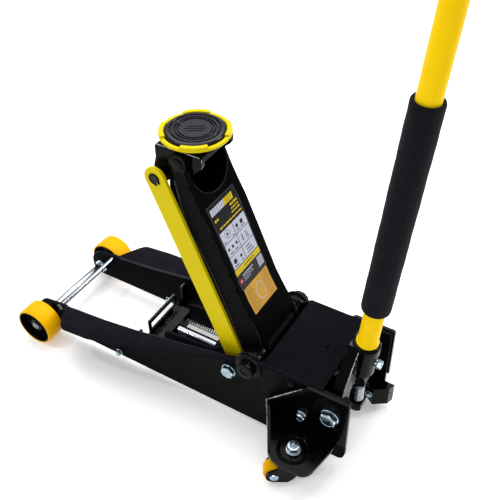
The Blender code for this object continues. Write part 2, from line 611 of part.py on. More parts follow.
turned("handle_tube", [(46, 0), (46, 14), (48, HANDLE_R), (91.4, HANDLE_R), (91.4, 17.6), (97, 17.6),
                       (98.5, HANDLE_R), (HANDLE_END - 2, HANDLE_R), (HANDLE_END, 14), (HANDLE_END, 0)],
       tuple(FOOT), tuple(UP), "yellow", segs=22)
turned("foam_sleeve", [(169, 16.4), (167.5, 20), (168, 22), (171, 22.6), (519, 21.6), (521, 20.5),
                       (522, 18.5), (521, 16.4)],
       tuple(FOOT), tuple(UP), "foam", origin=tuple(FOOT), closed=True, segs=22)
turned("end_grip", [(HANDLE_END + GAP, 0), (HANDLE_END + GAP, HANDLE_R + GAP),
                    (HANDLE_END - 128, HANDLE_R + GAP), (HANDLE_END - 128, 20.5),
                    (HANDLE_END - 124, 21.5), (HANDLE_END + 1, 20), (HANDLE_END + 4, 17),
                    (HANDLE_END + 4, 0)],
       tuple(FOOT), tuple(UP), "rubber", segs=22)

# pump plunger with its spring, and the release spindle
turned("pump_plunger", [(54, 0), (54, 5.5), (112.8, 5.5), (112.8, 10), (119, 10), (120, 9), (120, 0)],
       (PLUNGER_X, 0, 0), (0, 0, 1), "zinc", origin=(PLUNGER_X, 0, 112))
coil("plunger_spring", (PLUNGER_X, 0, 79.6), (PLUNGER_X, 0, 111.2), 8.4, 1.2, 7, "zinc", (PLUNGER_X, 0, 78.3),
     sides=4, steps=8)
turned("release_spindle", [(99, 0), (99, 5), (116, 5), (116, -6.0), (124, -6.0), (124, 0)],
       (564, 0, 0), (0, 0, 1), "zinc", segs=12)
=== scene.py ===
"""Looks of the hydraulic trolley jack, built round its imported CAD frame."""

import math
import random

import bmesh
import bpy
from mathutils import Matrix, Vector


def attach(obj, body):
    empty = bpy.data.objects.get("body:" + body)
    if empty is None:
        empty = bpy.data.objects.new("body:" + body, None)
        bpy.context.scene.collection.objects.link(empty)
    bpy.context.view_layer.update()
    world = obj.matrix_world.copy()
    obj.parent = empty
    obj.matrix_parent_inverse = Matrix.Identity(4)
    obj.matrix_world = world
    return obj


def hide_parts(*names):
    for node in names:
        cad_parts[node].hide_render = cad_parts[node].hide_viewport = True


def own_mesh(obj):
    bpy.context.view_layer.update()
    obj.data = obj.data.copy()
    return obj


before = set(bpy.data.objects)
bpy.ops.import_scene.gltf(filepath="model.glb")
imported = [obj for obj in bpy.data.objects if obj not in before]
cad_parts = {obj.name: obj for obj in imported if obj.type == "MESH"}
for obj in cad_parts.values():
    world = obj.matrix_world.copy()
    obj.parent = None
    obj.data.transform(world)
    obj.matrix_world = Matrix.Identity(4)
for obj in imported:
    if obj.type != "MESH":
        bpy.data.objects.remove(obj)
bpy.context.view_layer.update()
random.seed(7)

# Millimetres from the front axle (x), the middle plane (y) and the floor (z), as in the CAD source.
MM = 0.001
MID_X = 335.5
PIVOT = Vector((450, 0, 150))
ARM_TOP = Vector((320, 0, 476))
ARM_LENGTH = (ARM_TOP - PIVOT).length
ALONG = (ARM_TOP - PIVOT) / ARM_LENGTH
ACROSS = Vector((ALONG.z, 0, -ALONG.x))
BAR_TOP = Vector((282, 0, 443))
BAR_LOW = PIVOT + BAR_TOP - ARM_TOP
SADDLE = Vector((319, 0, 0))
AXLE = Vector((0, 0, 38.5))
CASTER = (563, 136.5)
CASTER_TURN = math.radians(210)
CASTER_TRAIL = 30
CASTER_R = 18
YOKE = Vector((600, 0, 128))
FOOT = Vector((606, 0, 128))
LEAN = math.radians(4.65)
UP = Vector((math.sin(LEAN), 0, math.cos(LEAN)))
HALF_SWING = math.radians(37.5)
DRIVE_PIN = PIVOT - 70 * Vector((math.sin(HALF_SWING), 0, math.cos(HALF_SWING)))
SIDES = (("near", -1), ("far", 1))
X, Y, Z = Vector((1, 0, 0)), Vector((0, 1, 0)), Vector((0, 0, 1))


# ---------------------------------------------------------------- materials

def surface(name, base, rough, metal=0.0, coat=0.0, spec=0.5, tone=0.12, tone_scale=45.0,
            rough_vary=0.06, grain=1100.0, bump=0.06, edge=None, edge_start=0.53, stretch=None,
            mottled=0.0, sheen=0.0):
    """Painted, plated or moulded surface: colour drift, fine grain, changing gloss, lighter edges (wear, and on the
    black gloss also a painted highlight).
    """
    mat = bpy.data.materials.new(name)
    mat.use_nodes = True
    tree = mat.node_tree
    link = tree.links.new
    shader = tree.nodes["Principled BSDF"]
    shader.inputs["Metallic"].default_value = metal
    shader.inputs["Coat Weight"].default_value = coat
    shader.inputs["Coat Roughness"].default_value = 0.08
    shader.inputs["Specular IOR Level"].default_value = spec
    shader.inputs["Sheen Weight"].default_value = sheen

    def noise(scale, detail, source):
        node = tree.nodes.new("ShaderNodeTexNoise")
        node.inputs["Scale"].default_value = scale
        node.inputs["Detail"].default_value = detail
        link(source, node.inputs["Vector"])
        return node.outputs["Fac"]

    def remap(value, a, b, low, high):
        node = tree.nodes.new("ShaderNodeMapRange")
        for key, number in (("From Min", a), ("From Max", b), ("To Min", low), ("To Max", high)):
            node.inputs[key].default_value = number
        link(value, node.inputs["Value"])
        return node.outputs["Result"]

    def blend(factor, a, b):
        node = tree.nodes.new("ShaderNodeMix")
        node.data_type = "RGBA"
        link(factor, node.inputs["Factor"])
        for socket, value in ((node.inputs["A"], a), (node.inputs["B"], b)):
            if isinstance(value, (tuple, list)):
                socket.default_value = (*value, 1.0)
            else:
                link(value, socket)
        return node.outputs["Result"]

    coords = tree.nodes.new("ShaderNodeTexCoord").outputs["Object"]
    drift = noise(tone_scale, 5.0, coords)
    low = tuple(c * (1 - tone) for c in base)
    high = tuple(min(1.0, c * (1 + tone)) for c in base)
    colour = blend(remap(drift, 0.32, 0.68, 0, 1), low, high)
    source = coords
    if stretch:
        mapping = tree.nodes.new("ShaderNodeMapping")
        mapping.inputs["Scale"].default_value = stretch
        link(coords, mapping.inputs["Vector"])
        source = mapping.outputs["Vector"]
    fine = noise(grain, 3.0, source)
    if mottled:
        spots = remap(noise(260.0, 4.0, coords), 0.5, 0.72, 0, mottled)
        colour = blend(spots, colour, tuple(min(1.0, c * 1.9 + 0.01) for c in base))
    if edge:
        point = tree.nodes.new("ShaderNodeNewGeometry").outputs["Pointiness"]
        wear_and_highlight = tree.nodes.new("ShaderNodeMath")
        wear_and_highlight.operation = "MULTIPLY"
        link(remap(point, edge_start, edge_start + 0.06, 0, 1), wear_and_highlight.inputs[0])
        link(remap(noise(140.0, 4.0, coords), 0.35, 0.6, 0, 1), wear_and_highlight.inputs[1])
        colour = blend(wear_and_highlight.outputs[0], colour, edge)
    link(colour, shader.inputs["Base Color"])
    gloss = remap(noise(tone_scale * 3.1, 4.0, coords), 0.3, 0.7, max(0.03, rough - rough_vary),
                  rough + rough_vary)
    link(gloss, shader.inputs["Roughness"])
    relief = tree.nodes.new("ShaderNodeBump")
    relief.inputs["Strength"].default_value = bump
    relief.inputs["Distance"].default_value = 0.0006
    link(fine, relief.inputs["Height"])
    link(relief.outputs["Normal"], shader.inputs["Normal"])
    return mat


# its lighter edges are partly wear and partly a painted highlight along the gloss edges
GLOSS = surface("black_gloss", (0.0010, 0.0011, 0.0014), 0.15, spec=0.065, tone=0.25, grain=420.0,
                bump=0.14, edge=(0.10, 0.105, 0.12), edge_start=0.56, rough_vary=0.05)
ARM_BLACK = surface("arm_black", (0.0016, 0.0015, 0.0018), 0.33, spec=0.010, tone=0.3, grain=700.0,
                    bump=0.10, edge=(0.02, 0.019, 0.024))
CHARCOAL = surface("charcoal_satin", (0.0082, 0.0072, 0.0112), 0.42, spec=0.012, tone=0.2, tone_scale=30.0,
                   grain=800.0, bump=0.16, mottled=0.05)
COVER = surface("cover_satin", (0.0038, 0.0033, 0.0052), 0.44, spec=0.012, tone=0.15, tone_scale=25.0,
                grain=1000.0, bump=0.16, edge=(0.03, 0.03, 0.035), mottled=0.04)
BAND = surface("arm_side_paint", (0.0042, 0.0041, 0.0046), 0.36, spec=0.015, tone=0.15, tone_scale=30.0,
               grain=900.0, bump=0.12, edge=(0.05, 0.05, 0.055), mottled=0.05)
YELLOW = surface("yellow_paint", (0.86, 0.56, 0.0006), 0.33, spec=0.05, tone=0.035, tone_scale=20.0,
                 grain=480.0, bump=0.05, rough_vary=0.05)
LEMON = surface("lemon_paint", (0.62, 0.50, 0.002), 0.33, spec=0.05, tone=0.035, tone_scale=20.0,
                grain=480.0, bump=0.05, rough_vary=0.05)
AMBER = surface("amber_polyurethane", (0.80, 0.40, 0.0006), 0.36, spec=0.05, tone=0.06,
                tone_scale=25.0, grain=700.0, bump=0.05)
ZINC = surface("zinc_plate", (0.33, 0.45, 0.52), 0.20, metal=1.0, tone=0.25, tone_scale=110.0, grain=1500.0,
               bump=0.10, rough_vary=0.09, edge=(0.80, 0.88, 0.92))
ZINC_DARK = surface("zinc_dark", (0.16, 0.19, 0.21), 0.34, metal=1.0, tone=0.25, tone_scale=90.0,
                    grain=1500.0, bump=0.12)
STEEL = surface("bright_steel", (0.50, 0.54, 0.56), 0.16, metal=1.0, tone=0.10, tone_scale=60.0,
                grain=900.0, bump=0.05, stretch=(1.0, 0.03, 1.0))
# painted highlight: lighter paint for the sheet bend and the arm panels' lower ridge
BEND_HIGHLIGHT = surface("bend_highlight", (0.030, 0.030, 0.038), 0.30, spec=0.10, tone=0.2, tone_scale=30.0, grain=800.0,
               bump=0.10)
# painted highlight: bright paint for thin beads along gloss edges
EDGE_HIGHLIGHT = surface("painted_edge_highlight", (0.34, 0.36, 0.40), 0.30, spec=0.3, tone=0.75, tone_scale=160.0, grain=900.0,
               bump=0.10)
SPRING = surface("spring_steel", (0.30, 0.31, 0.32), 0.22, metal=1.0, tone=0.2, tone_scale=90.0, grain=900.0,
                 bump=0.05)
CHROME = surface("chrome", (0.22, 0.23, 0.255), 0.07, metal=1.0, tone=0.04, tone_scale=40.0, grain=1400.0,
                 bump=0.02, rough_vary=0.03)
RUBBER = surface("rubber_pad", (0.0062, 0.0054, 0.0098), 0.24, spec=0.24, tone=0.12, tone_scale=70.0,
                 grain=900.0, bump=0.12)
GRIP = surface("grip_rubber", (0.007, 0.007, 0.008), 0.55, spec=0.18, tone=0.15, grain=900.0, bump=0.2)
FOAM = surface("foam", (0.0058, 0.0052, 0.0080), 0.80, spec=0.05, tone=0.22, tone_scale=160.0, grain=1300.0,
               bump=0.75, sheen=0.03)
NYLON = surface("hub_nylon", (0.0016, 0.0015, 0.0018), 0.34, spec=0.05, tone=0.15, grain=700.0, bump=0.10)
OLIVE = surface("pin_olive", (0.0045, 0.0046, 0.0022), 0.36, spec=0.2, tone=0.25, tone_scale=120.0,
                grain=900.0, bump=0.1)
# painted shade: a darker copy of the side plates' satin paint for the faces that look sideways
WEB_SHADE = surface("web_painted_shade", (0.0024, 0.0027, 0.0030), 0.42, spec=0.012, tone=0.25, tone_scale=25.0, grain=700.0,
              bump=0.18, mottled=0.04)
# painted highlight: lighter paint for the bead along the arm's notch rim
NOTCH_HIGHLIGHT = surface("painted_rim_highlight", (0.020, 0.015, 0.023), 0.30, spec=0.1, tone=0.2, grain=800.0, bump=0.05)


def printed(name, base, tone, rough=0.34, spec=0.12):
    """Flat printed ink or film of the label."""
    return surface("label_" + name, base, rough, spec=spec, tone=tone, grain=600.0, bump=0.02)


LABEL_WHITE = printed("white", (0.42, 0.44, 0.53), 0.03)
LABEL_INK = printed("ink", (0.016, 0.015, 0.022), 0.2)
LABEL_BASE = printed("base", (0.0030, 0.0028, 0.0032), 0.2, rough=0.22, spec=0.16)
LABEL_FRAME = printed("frame", (0.050, 0.043, 0.060), 0.15, rough=0.36)
LABEL_YELLOW = printed("yellow", (0.52, 0.38, 0.004), 0.04)
LABEL_ORANGE = printed("orange", (0.50, 0.27, 0.03), 0.05)
LABEL_RED = printed("red", (0.30, 0.012, 0.014), 0.1)


# ---------------------------------------------------------------- mesh tools

def to_scene(bm):
    """From drawing millimetres to the frame's metres, with normals facing out."""
    for v in bm.verts:
        v.co = Vector(((v.co.x - MID_X) * MM, v.co.y * MM, v.co.z * MM))
    bmesh.ops.recalc_face_normals(bm, faces=bm.faces[:])


def add_object(name, mesh):
    ob = bpy.data.objects.new(name, mesh)
    bpy.context.scene.collection.objects.link(ob)
    return ob


def smooth_shade(mesh, sharp):
    mesh.polygons.foreach_set("use_smooth", [True] * len(mesh.polygons))
    mesh.set_sharp_from_angle(angle=math.radians(sharp))


def from_bmesh(name, bm):
    to_scene(bm)
    mesh = bpy.data.meshes.new(name)
    bm.to_mesh(mesh)
    bm.free()
    return add_object(name, mesh)


def out(side):
    """Unit vector from the middle plane to the near or far side."""
    return Vector((0, side, 0))


def piece(name, bm, mat, body, *nodes, bevel=0.0, bevel_segs=2, sharp=38.0):
    """Link a bmesh drawn in millimetres as a piece that rides on a body and stands for CAD nodes."""
    ob = from_bmesh(name, bm)
    ob.data.materials.append(mat)
    smooth_shade(ob.data, sharp)
    if bevel:
        add_bevel(ob, bevel, bevel_segs)
    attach(ob, body)
    if nodes:
        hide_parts(*nodes)
    return ob


def add_bevel(ob, width, segs=2, angle=35.0):
    mod = ob.modifiers.new("Edges", "BEVEL")
    mod.width = width * MM
    mod.segments = segs
    mod.limit_method = "ANGLE"
    mod.angle_limit = math.radians(angle)
    mod.harden_normals = True
    mod.use_clamp_overlap = True


def dress(node, mat, bevel=0.8, segs=2):
    """Give a carried-over CAD node its material and soft edges."""
    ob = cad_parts[node]
    ob.data.materials.clear()
    ob.data.materials.append(mat)
    weld = ob.modifiers.new("Weld", "WELD")
    weld.merge_threshold = 1e-6
    add_bevel(ob, bevel, segs)


def arc(cx, cy, r, a0, a1, n):
    """Points of an arc from angle a0 to a1 in degrees."""
    turns = [math.radians(a0 + (a1 - a0) * i / n) for i in range(n + 1)]
    return [(cx + r * math.cos(a), cy + r * math.sin(a)) for a in turns]


def add_walls(bm, low, high):
    """Faces between two closed rows of vertices."""
    for i in range(len(low)):
        j = (i + 1) % len(low)
        bm.faces.new((low[j], low[i], high[i], high[j]))


def add_prism(bm, outline, low, high, at=Vector(), u=X, v=Z, w=Y):
    """Outline in the plane of u and v, pulled from low to high along w."""
    rows = [[bm.verts.new(at + u * a + v * b + w * h) for a, b in outline] for h in (low, high)]
    bm.faces.new(rows[0])
    bm.faces.new(rows[1][::-1])
    add_walls(bm, *rows)
    return bm


def hex_radius(half_flats, angle):
    """Distance from the middle of a hexagon to its edge in one direction."""
    step = math.radians(60)
    return half_flats / math.cos(angle % step - step / 2)


def add_turned(bm, rings, at, axis, closed=False, segs=48, phase=0.0):
    """Rings (height, radius) stacked along an axis; a negative radius is half a hexagon's flats."""
    turn = Z.rotation_difference(Vector(axis).normalized()).to_matrix()
    at = Vector(at)
    rows = []
    for h, r in rings:
        if r == 0:
            rows.append([bm.verts.new(at + turn @ Vector((0, 0, h)))])
            continue
        row = []
        for i in range(segs):
            a = 2 * math.pi * i / segs
            rr = r if r > 0 else hex_radius(-r, a)
            p = Vector((rr * math.cos(a + phase), rr * math.sin(a + phase), h))
            row.append(bm.verts.new(at + turn @ p))
        rows.append(row)
    if not closed:
        for k in (0, -1):
            if len(rows[k]) > 1:
                bm.faces.new(rows[k])
    count = len(rows) if closed else len(rows) - 1
    for k in range(count):
        a, b = rows[k], rows[(k + 1) % len(rows)]
        for i in range(segs):
            j = (i + 1) % segs
            if len(a) == 1 and len(b) == 1:
                continue
            if len(a) == 1:
                bm.faces.new((a[0], b[i], b[j]))
            elif len(b) == 1:
                bm.faces.new((a[i], a[j], b[0]))
            else:
                bm.faces.new((a[i], a[j], b[j], b[i]))
    return bm


def add_tube(bm, path, radius, sides=8, closed=False):
    """A tube of round section along a list of points; radius is a number or one per point."""
    n = len(path)
    rows = []
    guide = None
    for k, p in enumerate(path):
        before = path[(k - 1) % n] if closed or k else path[0]
        after = path[(k + 1) % n] if closed or k < n - 1 else path[-1]
        along = (after - before).normalized()
        if guide is None:
            guide = along.orthogonal().normalized()
        guide = (guide - along * guide.dot(along)).normalized()
        side = along.cross(guide)
        r = radius[k] if isinstance(radius, (list, tuple)) else radius
        rows.append([bm.verts.new(p + guide * (r * math.cos(2 * math.pi * i / sides))
                                  + side * (r * math.sin(2 * math.pi * i / sides)))
                     for i in range(sides)])
    pairs = list(zip(rows, rows[1:]))
    if closed:
        pairs.append((rows[-1], rows[0]))
    else:
        bm.faces.new(rows[0])
        bm.faces.new(rows[-1][::-1])
    for row, nxt in pairs:
        for i in range(sides):
            j = (i + 1) % sides
            bm.faces.new((row[i], row[j], nxt[j], nxt[i]))
    return bm


def turned(name, rings, at, axis, mat, body, *nodes, sharp=38.0, **shape):
    """A piece that is one turned profile."""
    return piece(name, add_turned(bmesh.new(), rings, at, axis, **shape), mat, body, *nodes, sharp=sharp)


def weld_bead(name, path, radius, body, closed=False):
    """A rippled weld bead along a path."""
    dense = []
    count = len(path) if closed else len(path) - 1
    for k in range(count):
        a, b = path[k], path[(k + 1) % len(path)]
        steps = max(2, int((b - a).length / 1.1))
        dense += [a.lerp(b, i / steps) for i in range(steps)]
    if not closed:
        dense.append(path[-1])
    radii = [radius * (0.86 + 0.2 * abs(math.sin(k * 0.9)) + random.uniform(-0.05, 0.05))
             for k in range(len(dense))]
    bm = add_tube(bmesh.new(), dense, radii, 8, closed)
    piece(name, bm, GLOSS, body, sharp=80)


def cut(ob, tool_bm, operation="DIFFERENCE"):
    """Apply an exact boolean with a tool drawn in millimetres."""
    tool = from_bmesh("tool", tool_bm)
    mod = ob.modifiers.new("Cut", "BOOLEAN")
    mod.operation = operation
    mod.solver = "EXACT"
    mod.object = tool
    with_cut = ob.evaluated_get(bpy.context.evaluated_depsgraph_get())
    result = bpy.data.meshes.new_from_object(with_cut)
    ob.modifiers.remove(mod)
    ob.data = result
    bpy.data.objects.remove(tool)
    smooth_shade(result, 38)


def thread(low, high, radius, pitch=1.25, depth=0.5):
    """Ring profile of a threaded stretch."""
    rings = []
    h = low
    while h + pitch <= high:
        rings += [(h, radius - depth), (h + pitch * 0.5, radius)]
        h += pitch
    return rings + [(high, radius - depth)]


def hex_bolt(name, at, side, flats, head, washer, body, *nodes, phase=0.2):
    """Washer and chamfered hex head whose seat is at the given point, pointing out along y."""
    half = flats / 2
    axis = out(side)
    dome = 0.5
    rings = [(0, washer - 0.4), (0.3, washer), (1.8, washer), (2.1, washer - 0.5), (2.2, half)]
    turned(name + "_washer", rings, at, axis, ZINC, body, sharp=30)
    rings = [(2.2, half * 1.02), (2.9, half * 1.02), (2.95, -half), (head - 1.7, -half),
             (head - 0.2, half * 0.93), (head, half * 0.86)]
    rings += [(head - 0.35, half * 0.8), (head + dome, half * 0.3), (head + dome, 0)]
    turned(name + "_head", rings, at, axis, ZINC, body, *nodes, phase=phase, sharp=24)


# ---------------------------------------------------------------- chassis

# side plate sections: x, bottom, top, outer edge of the flange
STATIONS = [
    (-25, 33, 44, 83), (-24.3, 28, 49.5, 83), (-22, 23.5, 55, 83), (-18.5, 19, 60.5, 83), (-14, 16, 65, 83),
    (-9, 14, 68.6, 83), (-4, 13, 71, 83), (20, 13, 75, 83), (46, 13, 78.5, 83), (52, 13, 79.2, 93.5),
    (58, 13, 80, 104), (64, 13, 81, 112.5), (70, 13, 81.8, 121), (76, 13, 82.5, 127), (82, 13, 83.2, 129.6),
    (88, 13, 83.8, 130), (134, 13, 89.2, 130), (140, 13, 90, 129.8), (148, 13, 91.3, 128.9),
    (213, 13, 102.5, 121.5), (290, 13, 120, 106), (350, 13, 134, 96), (395, 13, 144, 88),
    (420, 13, 151, 83), (476, 13, 167.6, 83), (516, 13, 167.6, 83), (520, 56, 167.6, 83),
    (588, 56, 167.6, 83), (591, 40, 167.6, 83), (594, 28, 167.6, 83), (598, 22.5, 167.6, 83),
    (604, 20.2, 167.6, 83), (616, 20, 167.6, 83), (621, 22, 167.6, 83), (625, 27, 167.6, 83),
    (627, 34, 167.6, 83),
]


def side_plate(label, side):
    """Tall web whose top bends outward into a flange at the front."""
    bm = bmesh.new()
    rows = []
    for x, low, top, edge in STATIONS:
        flare = min(1.0, (edge - 83) / 12)
        r = 1.0 + 5.0 * flare
        inner = 0.9 + 3.0 * flare
        section = [(76, low), (76, top - r)]
        section += [(76 + r * (1 - math.cos(a)), top - r + r * math.sin(a))
                    for a in (math.radians(q) for q in (22, 45, 68, 90))]
        section += [(max(edge - 0.9, 76 + r + 0.2), top), (edge, top - 0.9), (edge, top - 4.1)]
        section += [(max(edge - 0.9, 82.1), top - 5)]
        low_y = min(82 + inner, max(edge - 1.0, 82.05))
        section += [(low_y, top - 5), (82 + (low_y - 82) * 0.3, top - 5 - (low_y - 82) * 0.3),
                    (82, top - 5 - (low_y - 82)), (82, low)]
        rows.append([bm.verts.new((x, side * y, z)) for y, z in section])
    for a, b in zip(rows, rows[1:]):
        for i in range(len(a)):
            j = (i + 1) % len(a)
            bm.faces.new((a[i], a[j], b[j], b[i]))
    bm.faces.new(rows[0])
    bm.faces.new(rows[-1])
    plate = piece(label + "_plate", bm, CHARCOAL, "chassis", label + "_side_plate", sharp=50)
    plate.data.materials.append(BEND_HIGHLIGHT)
    # third slot: the darker copy for faces that look sideways, a painted shade
    plate.data.materials.append(WEB_SHADE)
    # the bend between web and flange gets a lighter paint, a painted highlight
    for face in plate.data.polygons:
        x, y, z = (c / MM for c in face.center)
        if -300 < x < 70 and 77.0 < side * y < 79.6 and abs(face.normal.x) < 0.7 and face.normal.z > 0.25:
            face.material_index = 1
        elif abs(face.normal.y) > 0.85:
            face.material_index = 2


for label, side in SIDES:
    side_plate(label, side)

# front axle, spacer tube, nuts and thin rod
turned("axle_shaft", [(-124.2, 0), (-124.2, 6.4), (-122.8, 8), (122.8, 8), (124.2, 6.4), (124.2, 0)], AXLE, Y,
       ZINC_DARK, "chassis", "front_axle")
turned("axle_tube", [(-69, 9.9), (-70, 9.2), (-70, 8.3), (70, 8.3), (70, 9.2), (69, 9.9)], AXLE, Y, STEEL,
       "chassis", "axle_spacer", closed=True, segs=64)
for label, side in SIDES:
    rings = [(70.2, 8.3), (70.2, 11.4), (70.8, -12.6), (74.6, -12.6), (75.2, 11.6), (75.2, 8.3)]
    turned(label + "_inner_nut", rings, AXLE, out(side), ZINC, "chassis", label + "_axle_nut", closed=True,
           phase=0.3, sharp=25)
turned("nose_rod", [(-84, 0), (-84, 3), (-83, 4), (83, 4), (84, 3), (84, 0)], (32, 0, 70), Y, CHROME, "chassis",
       "front_tie_rod")
for label, side in SIDES:
    turned(label + "_nose_rivet", [(82.1, 0), (82.1, 6.5), (83.2, 6.5), (84.6, 5.2), (85, 3.5), (84.2, 0)], (32,
           0, 70), out(side), ZINC_DARK, "chassis")

dress("cross_member", GLOSS, 0.7)
dress("cover_plate", COVER, 1.2, 3)
dress("pump_block", GLOSS, 1.6, 3)

# arm pivot: shaft with grooved ends and welded collars
for label, side in SIDES:
    axis = out(side)
    rings = [(82.2, 0), (82.2, 21.5), (84.6, 21.5), (86.2, 20.2), (86.6, 17.6), (88.0, 17.4), (88.3, 15.2),
             (89.2, 14.4), (90.4, 14.4), (91.0, 15.6), (91.8, 16.0), (95.2, 16.0), (96.6, 14.8), (97.0, 12.8),
             (97.0, 7.5), (95.6, 6.5), (95.6, 0)]
    turned(label + "_pivot_end", rings, PIVOT, axis, GLOSS, "chassis", segs=72, sharp=22)
    ring = [Vector((PIVOT.x + 21.6 * math.cos(a), side * 83.4, PIVOT.z + 21.6 * math.sin(a)))
            for a in (2 * math.pi * i / 28 for i in range(28))]
    weld_bead(label + "_pivot_weld", ring, 2.3, "chassis", closed=True)
    rings = [(49.2, 15.4), (49.2, 19.5), (50.4, 21), (62.5, 21), (63.5, 21.4), (65, 23), (67, 23.8), (73.5, 23.8),
             (75.6, 22.4), (75.6, 15.4)]
    turned(label + "_pivot_ring", rings, PIVOT, axis, GLOSS, "chassis", closed=True, segs=72, sharp=22)
turned("pivot_bar", [(-82, 0), (-82, 15), (82, 15), (82, 0)], PIVOT, Y, GLOSS, "chassis", "pivot_shaft", segs=72)

# bolts of the chassis
for label, side in SIDES:
    seat = Vector((BAR_LOW.x, side * 82.3, BAR_LOW.z))
    hex_bolt(label + "_lever_bolt", seat, side, 21.5, 9.6, 13.0, "chassis", label + "_bar_bolt", phase=0.25)
    shank = [(51.9, 0), (51.9, 6.4), (52.7, 7), (82.2, 7), (82.2, 0)]
    turned(label + "_lever_shank", [(side * h, r) for h, r in shank][::side], (BAR_LOW.x, 0, BAR_LOW.z), Y, ZINC,
           "chassis")
    turned(label + "_lever_sleeve", [(59.5, 7.2), (59.5, 11.4), (60.2, 12), (75, 12), (75.6, 11.4), (75.6, 7.2)],
           (BAR_LOW.x, 0, BAR_LOW.z), out(side), GLOSS, "chassis", label + "_bar_spacer", closed=True)
    hex_bolt(label + "_pump_bolt", Vector((YOKE.x, side * 89.7, YOKE.z)), side, 25, 11.0, 15.2, "chassis",
             label + "_yoke_bolt", phase=0.35)
    shank = [(56.5, 0), (56.5, 8), (57.4, 9), (89.6, 9), (89.6, 0)]
    turned(label + "_pump_shank", [(side * h, r) for h, r in shank][::side], YOKE, Y, ZINC, "chassis")
    hex_bolt(label + "_frame_bolt", Vector((552, side * 89.7, 100)), side, 13.6, 8.6, 9.4, "chassis",
             label + "_bracket_bolt", phase=0.1)
    turned(label + "_cover_screw", [(0, 0), (0, 5.4), (1.2, 6.6), (2.4, 6.2), (4.2, 4.4), (4.6, 2.6), (3.9, 0)],
           (528, side * 82.3, 154), out(side), GLOSS, "chassis", label + "_cover_bolt", sharp=25)


# ---------------------------------------------------------------- casters

for label, side in SIDES:
    x, y = CASTER[0], side * CASTER[1]
    fork_body, wheel_body = label + "_caster_fork", label + "_caster_wheel"
    trail = Vector((math.cos(CASTER_TURN), -side * math.sin(CASTER_TURN), 0))
    axle = Vector((-math.sin(CASTER_TURN), -side * math.cos(CASTER_TURN), 0))
    hub = Vector((x, y, CASTER_R)) + trail * CASTER_TRAIL
    dress(label + "_caster_bracket", GLOSS, 1.7, 3)
    dress(label + "_caster_fork", GLOSS, 1.3, 3)
    # raised bearing race pressed into the shelf
    race = [(72.0, 20.6), (73.2, 21.6), (74.6, 22.8), (75.1, 24.2), (74.6, 25.6), (73.2, 26.6), (72.0, 27.6),
            (71.6, 27.6), (71.6, 20.6)]
    turned(label + "_race_ring", race, (x, y, 0), Z, GLOSS, "chassis", closed=True, segs=72)
    # nut and washers on the swivel stud
    bm = bmesh.new()
    add_turned(bm, [(72.4, 4.9), (72.4, 11.8), (72.8, 12.2), (74.0, 12.2), (74.4, 11.6), (74.4, 4.9)], (x, y, 0),
               Z, closed=True)
    add_turned(bm, [(74.6, 4.9), (74.6, 10.2), (75.0, 10.6), (76.4, 10.6), (76.8, 10.0), (76.8, 4.9)],
               (x, y, 0), Z, closed=True)
    piece(label + "_swivel_washers", bm, ZINC, fork_body, sharp=30)
    rings = [(76.9, 4.9), (76.9, 9.2), (77.6, -9.6), (83.2, -9.6), (84.4, 9.0), (84.6, 6.8), (86.0, 6.6),
             (86.6, 5.8), (88.0, 4.9)]
    turned(label + "_swivel_nut", rings, (x, y, 0), Z, ZINC, fork_body, label + "_caster_nut", closed=True,
           phase=0.5, sharp=24)
    turned(label + "_swivel_stud", [(76, 0)] + thread(76, 88.0, 4.7) + [(88.4, 3.6), (88.4, 0)], (x, y, 0), Z,
           ZINC_DARK, fork_body)
    # wheel, axle bolt and cap rings
    tread = [(-10.4, 4.9), (-10.4, 13.5), (-9.6, 14.2), (-9.9, 15.4), (-9.2, 17.1), (-7.8, CASTER_R),
             (7.8, CASTER_R), (9.2, 17.1), (9.9, 15.4), (9.6, 14.2), (10.4, 13.5), (10.4, 4.9)]
    turned(label + "_caster_tread", tread, hub, axle, AMBER, wheel_body, label + "_caster_wheel", closed=True,
           segs=64, sharp=30)
    rod = [(-18.4, 0), (-18.4, 4.4), (-17.9, 6.2), (-16.6, 7.2), (-15.8, 7.2), (-15.8, 4.4), (15.8, 4.4),
           (15.8, 7.2), (16.6, 7.2), (17.9, 6.2), (18.4, 4.4), (18.4, 0)]
    turned(label + "_axle_bolt", rod, hub, axle, ZINC, fork_body, label + "_caster_axle", sharp=25)

# ---------------------------------------------------------------- front wheels

for label, side in SIDES:
    axis = out(side)
    body = label + "_wheel"
    tread = [(91.4, 35.4), (91.2, 36.4), (92.2, 37.6), (94.6, 38.3), (110, 38.5), (125.4, 38.3), (127.8, 37.6),
             (128.8, 36.4), (128.6, 35.4), (127.4, 34.9), (92.6, 34.9)]
    turned(label + "_tread", tread, AXLE, axis, AMBER, body, label + "_wheel_tread", closed=True, segs=96,
           sharp=40)
    rim = [(92.0, 34.85), (92.0, 33.4), (94.5, 32.6), (104.8, 31.4), (106.2, 29.2), (106.2, 15.5), (104.5, 14.2),
           (89.0, 13.4), (88.2, 12.8), (88.2, 8.3), (118.4, 8.3), (118.4, 12.2), (117.6, 12.8), (114.5, 14.0),
           (113.2, 15.6), (113.2, 29.2), (114.6, 31.4), (125.8, 32.4), (128.0, 33.2), (128.0, 34.85)]
    turned(label + "_hub", rim, AXLE, axis, NYLON, body, label + "_wheel_hub", closed=True, segs=96, sharp=30)
    # axle end: washer
    turned(label + "_hub_washer", [(118.8, 8.2), (118.8, 13), (119.4, 13.6), (120.4, 13.6), (121, 13),
           (121, 8.2)], AXLE, axis, NYLON, "chassis", closed=True)

# ---------------------------------------------------------------- lift arm

TOP_LINE = [(-10, 24), (50, 20), (100, 14), (240, 12), (290, 8), (335, 8), (367, 0)]


def top_offset(s):
    for (s0, t0), (s1, t1) in zip(TOP_LINE, TOP_LINE[1:]):
        if s <= s1:
            return t0 + (t1 - t0) * (s - s0) / (s1 - s0)
    return TOP_LINE[-1][1]


def in_arm(p):
    d = p - PIVOT
    return d.dot(ALONG), d.dot(ACROSS)


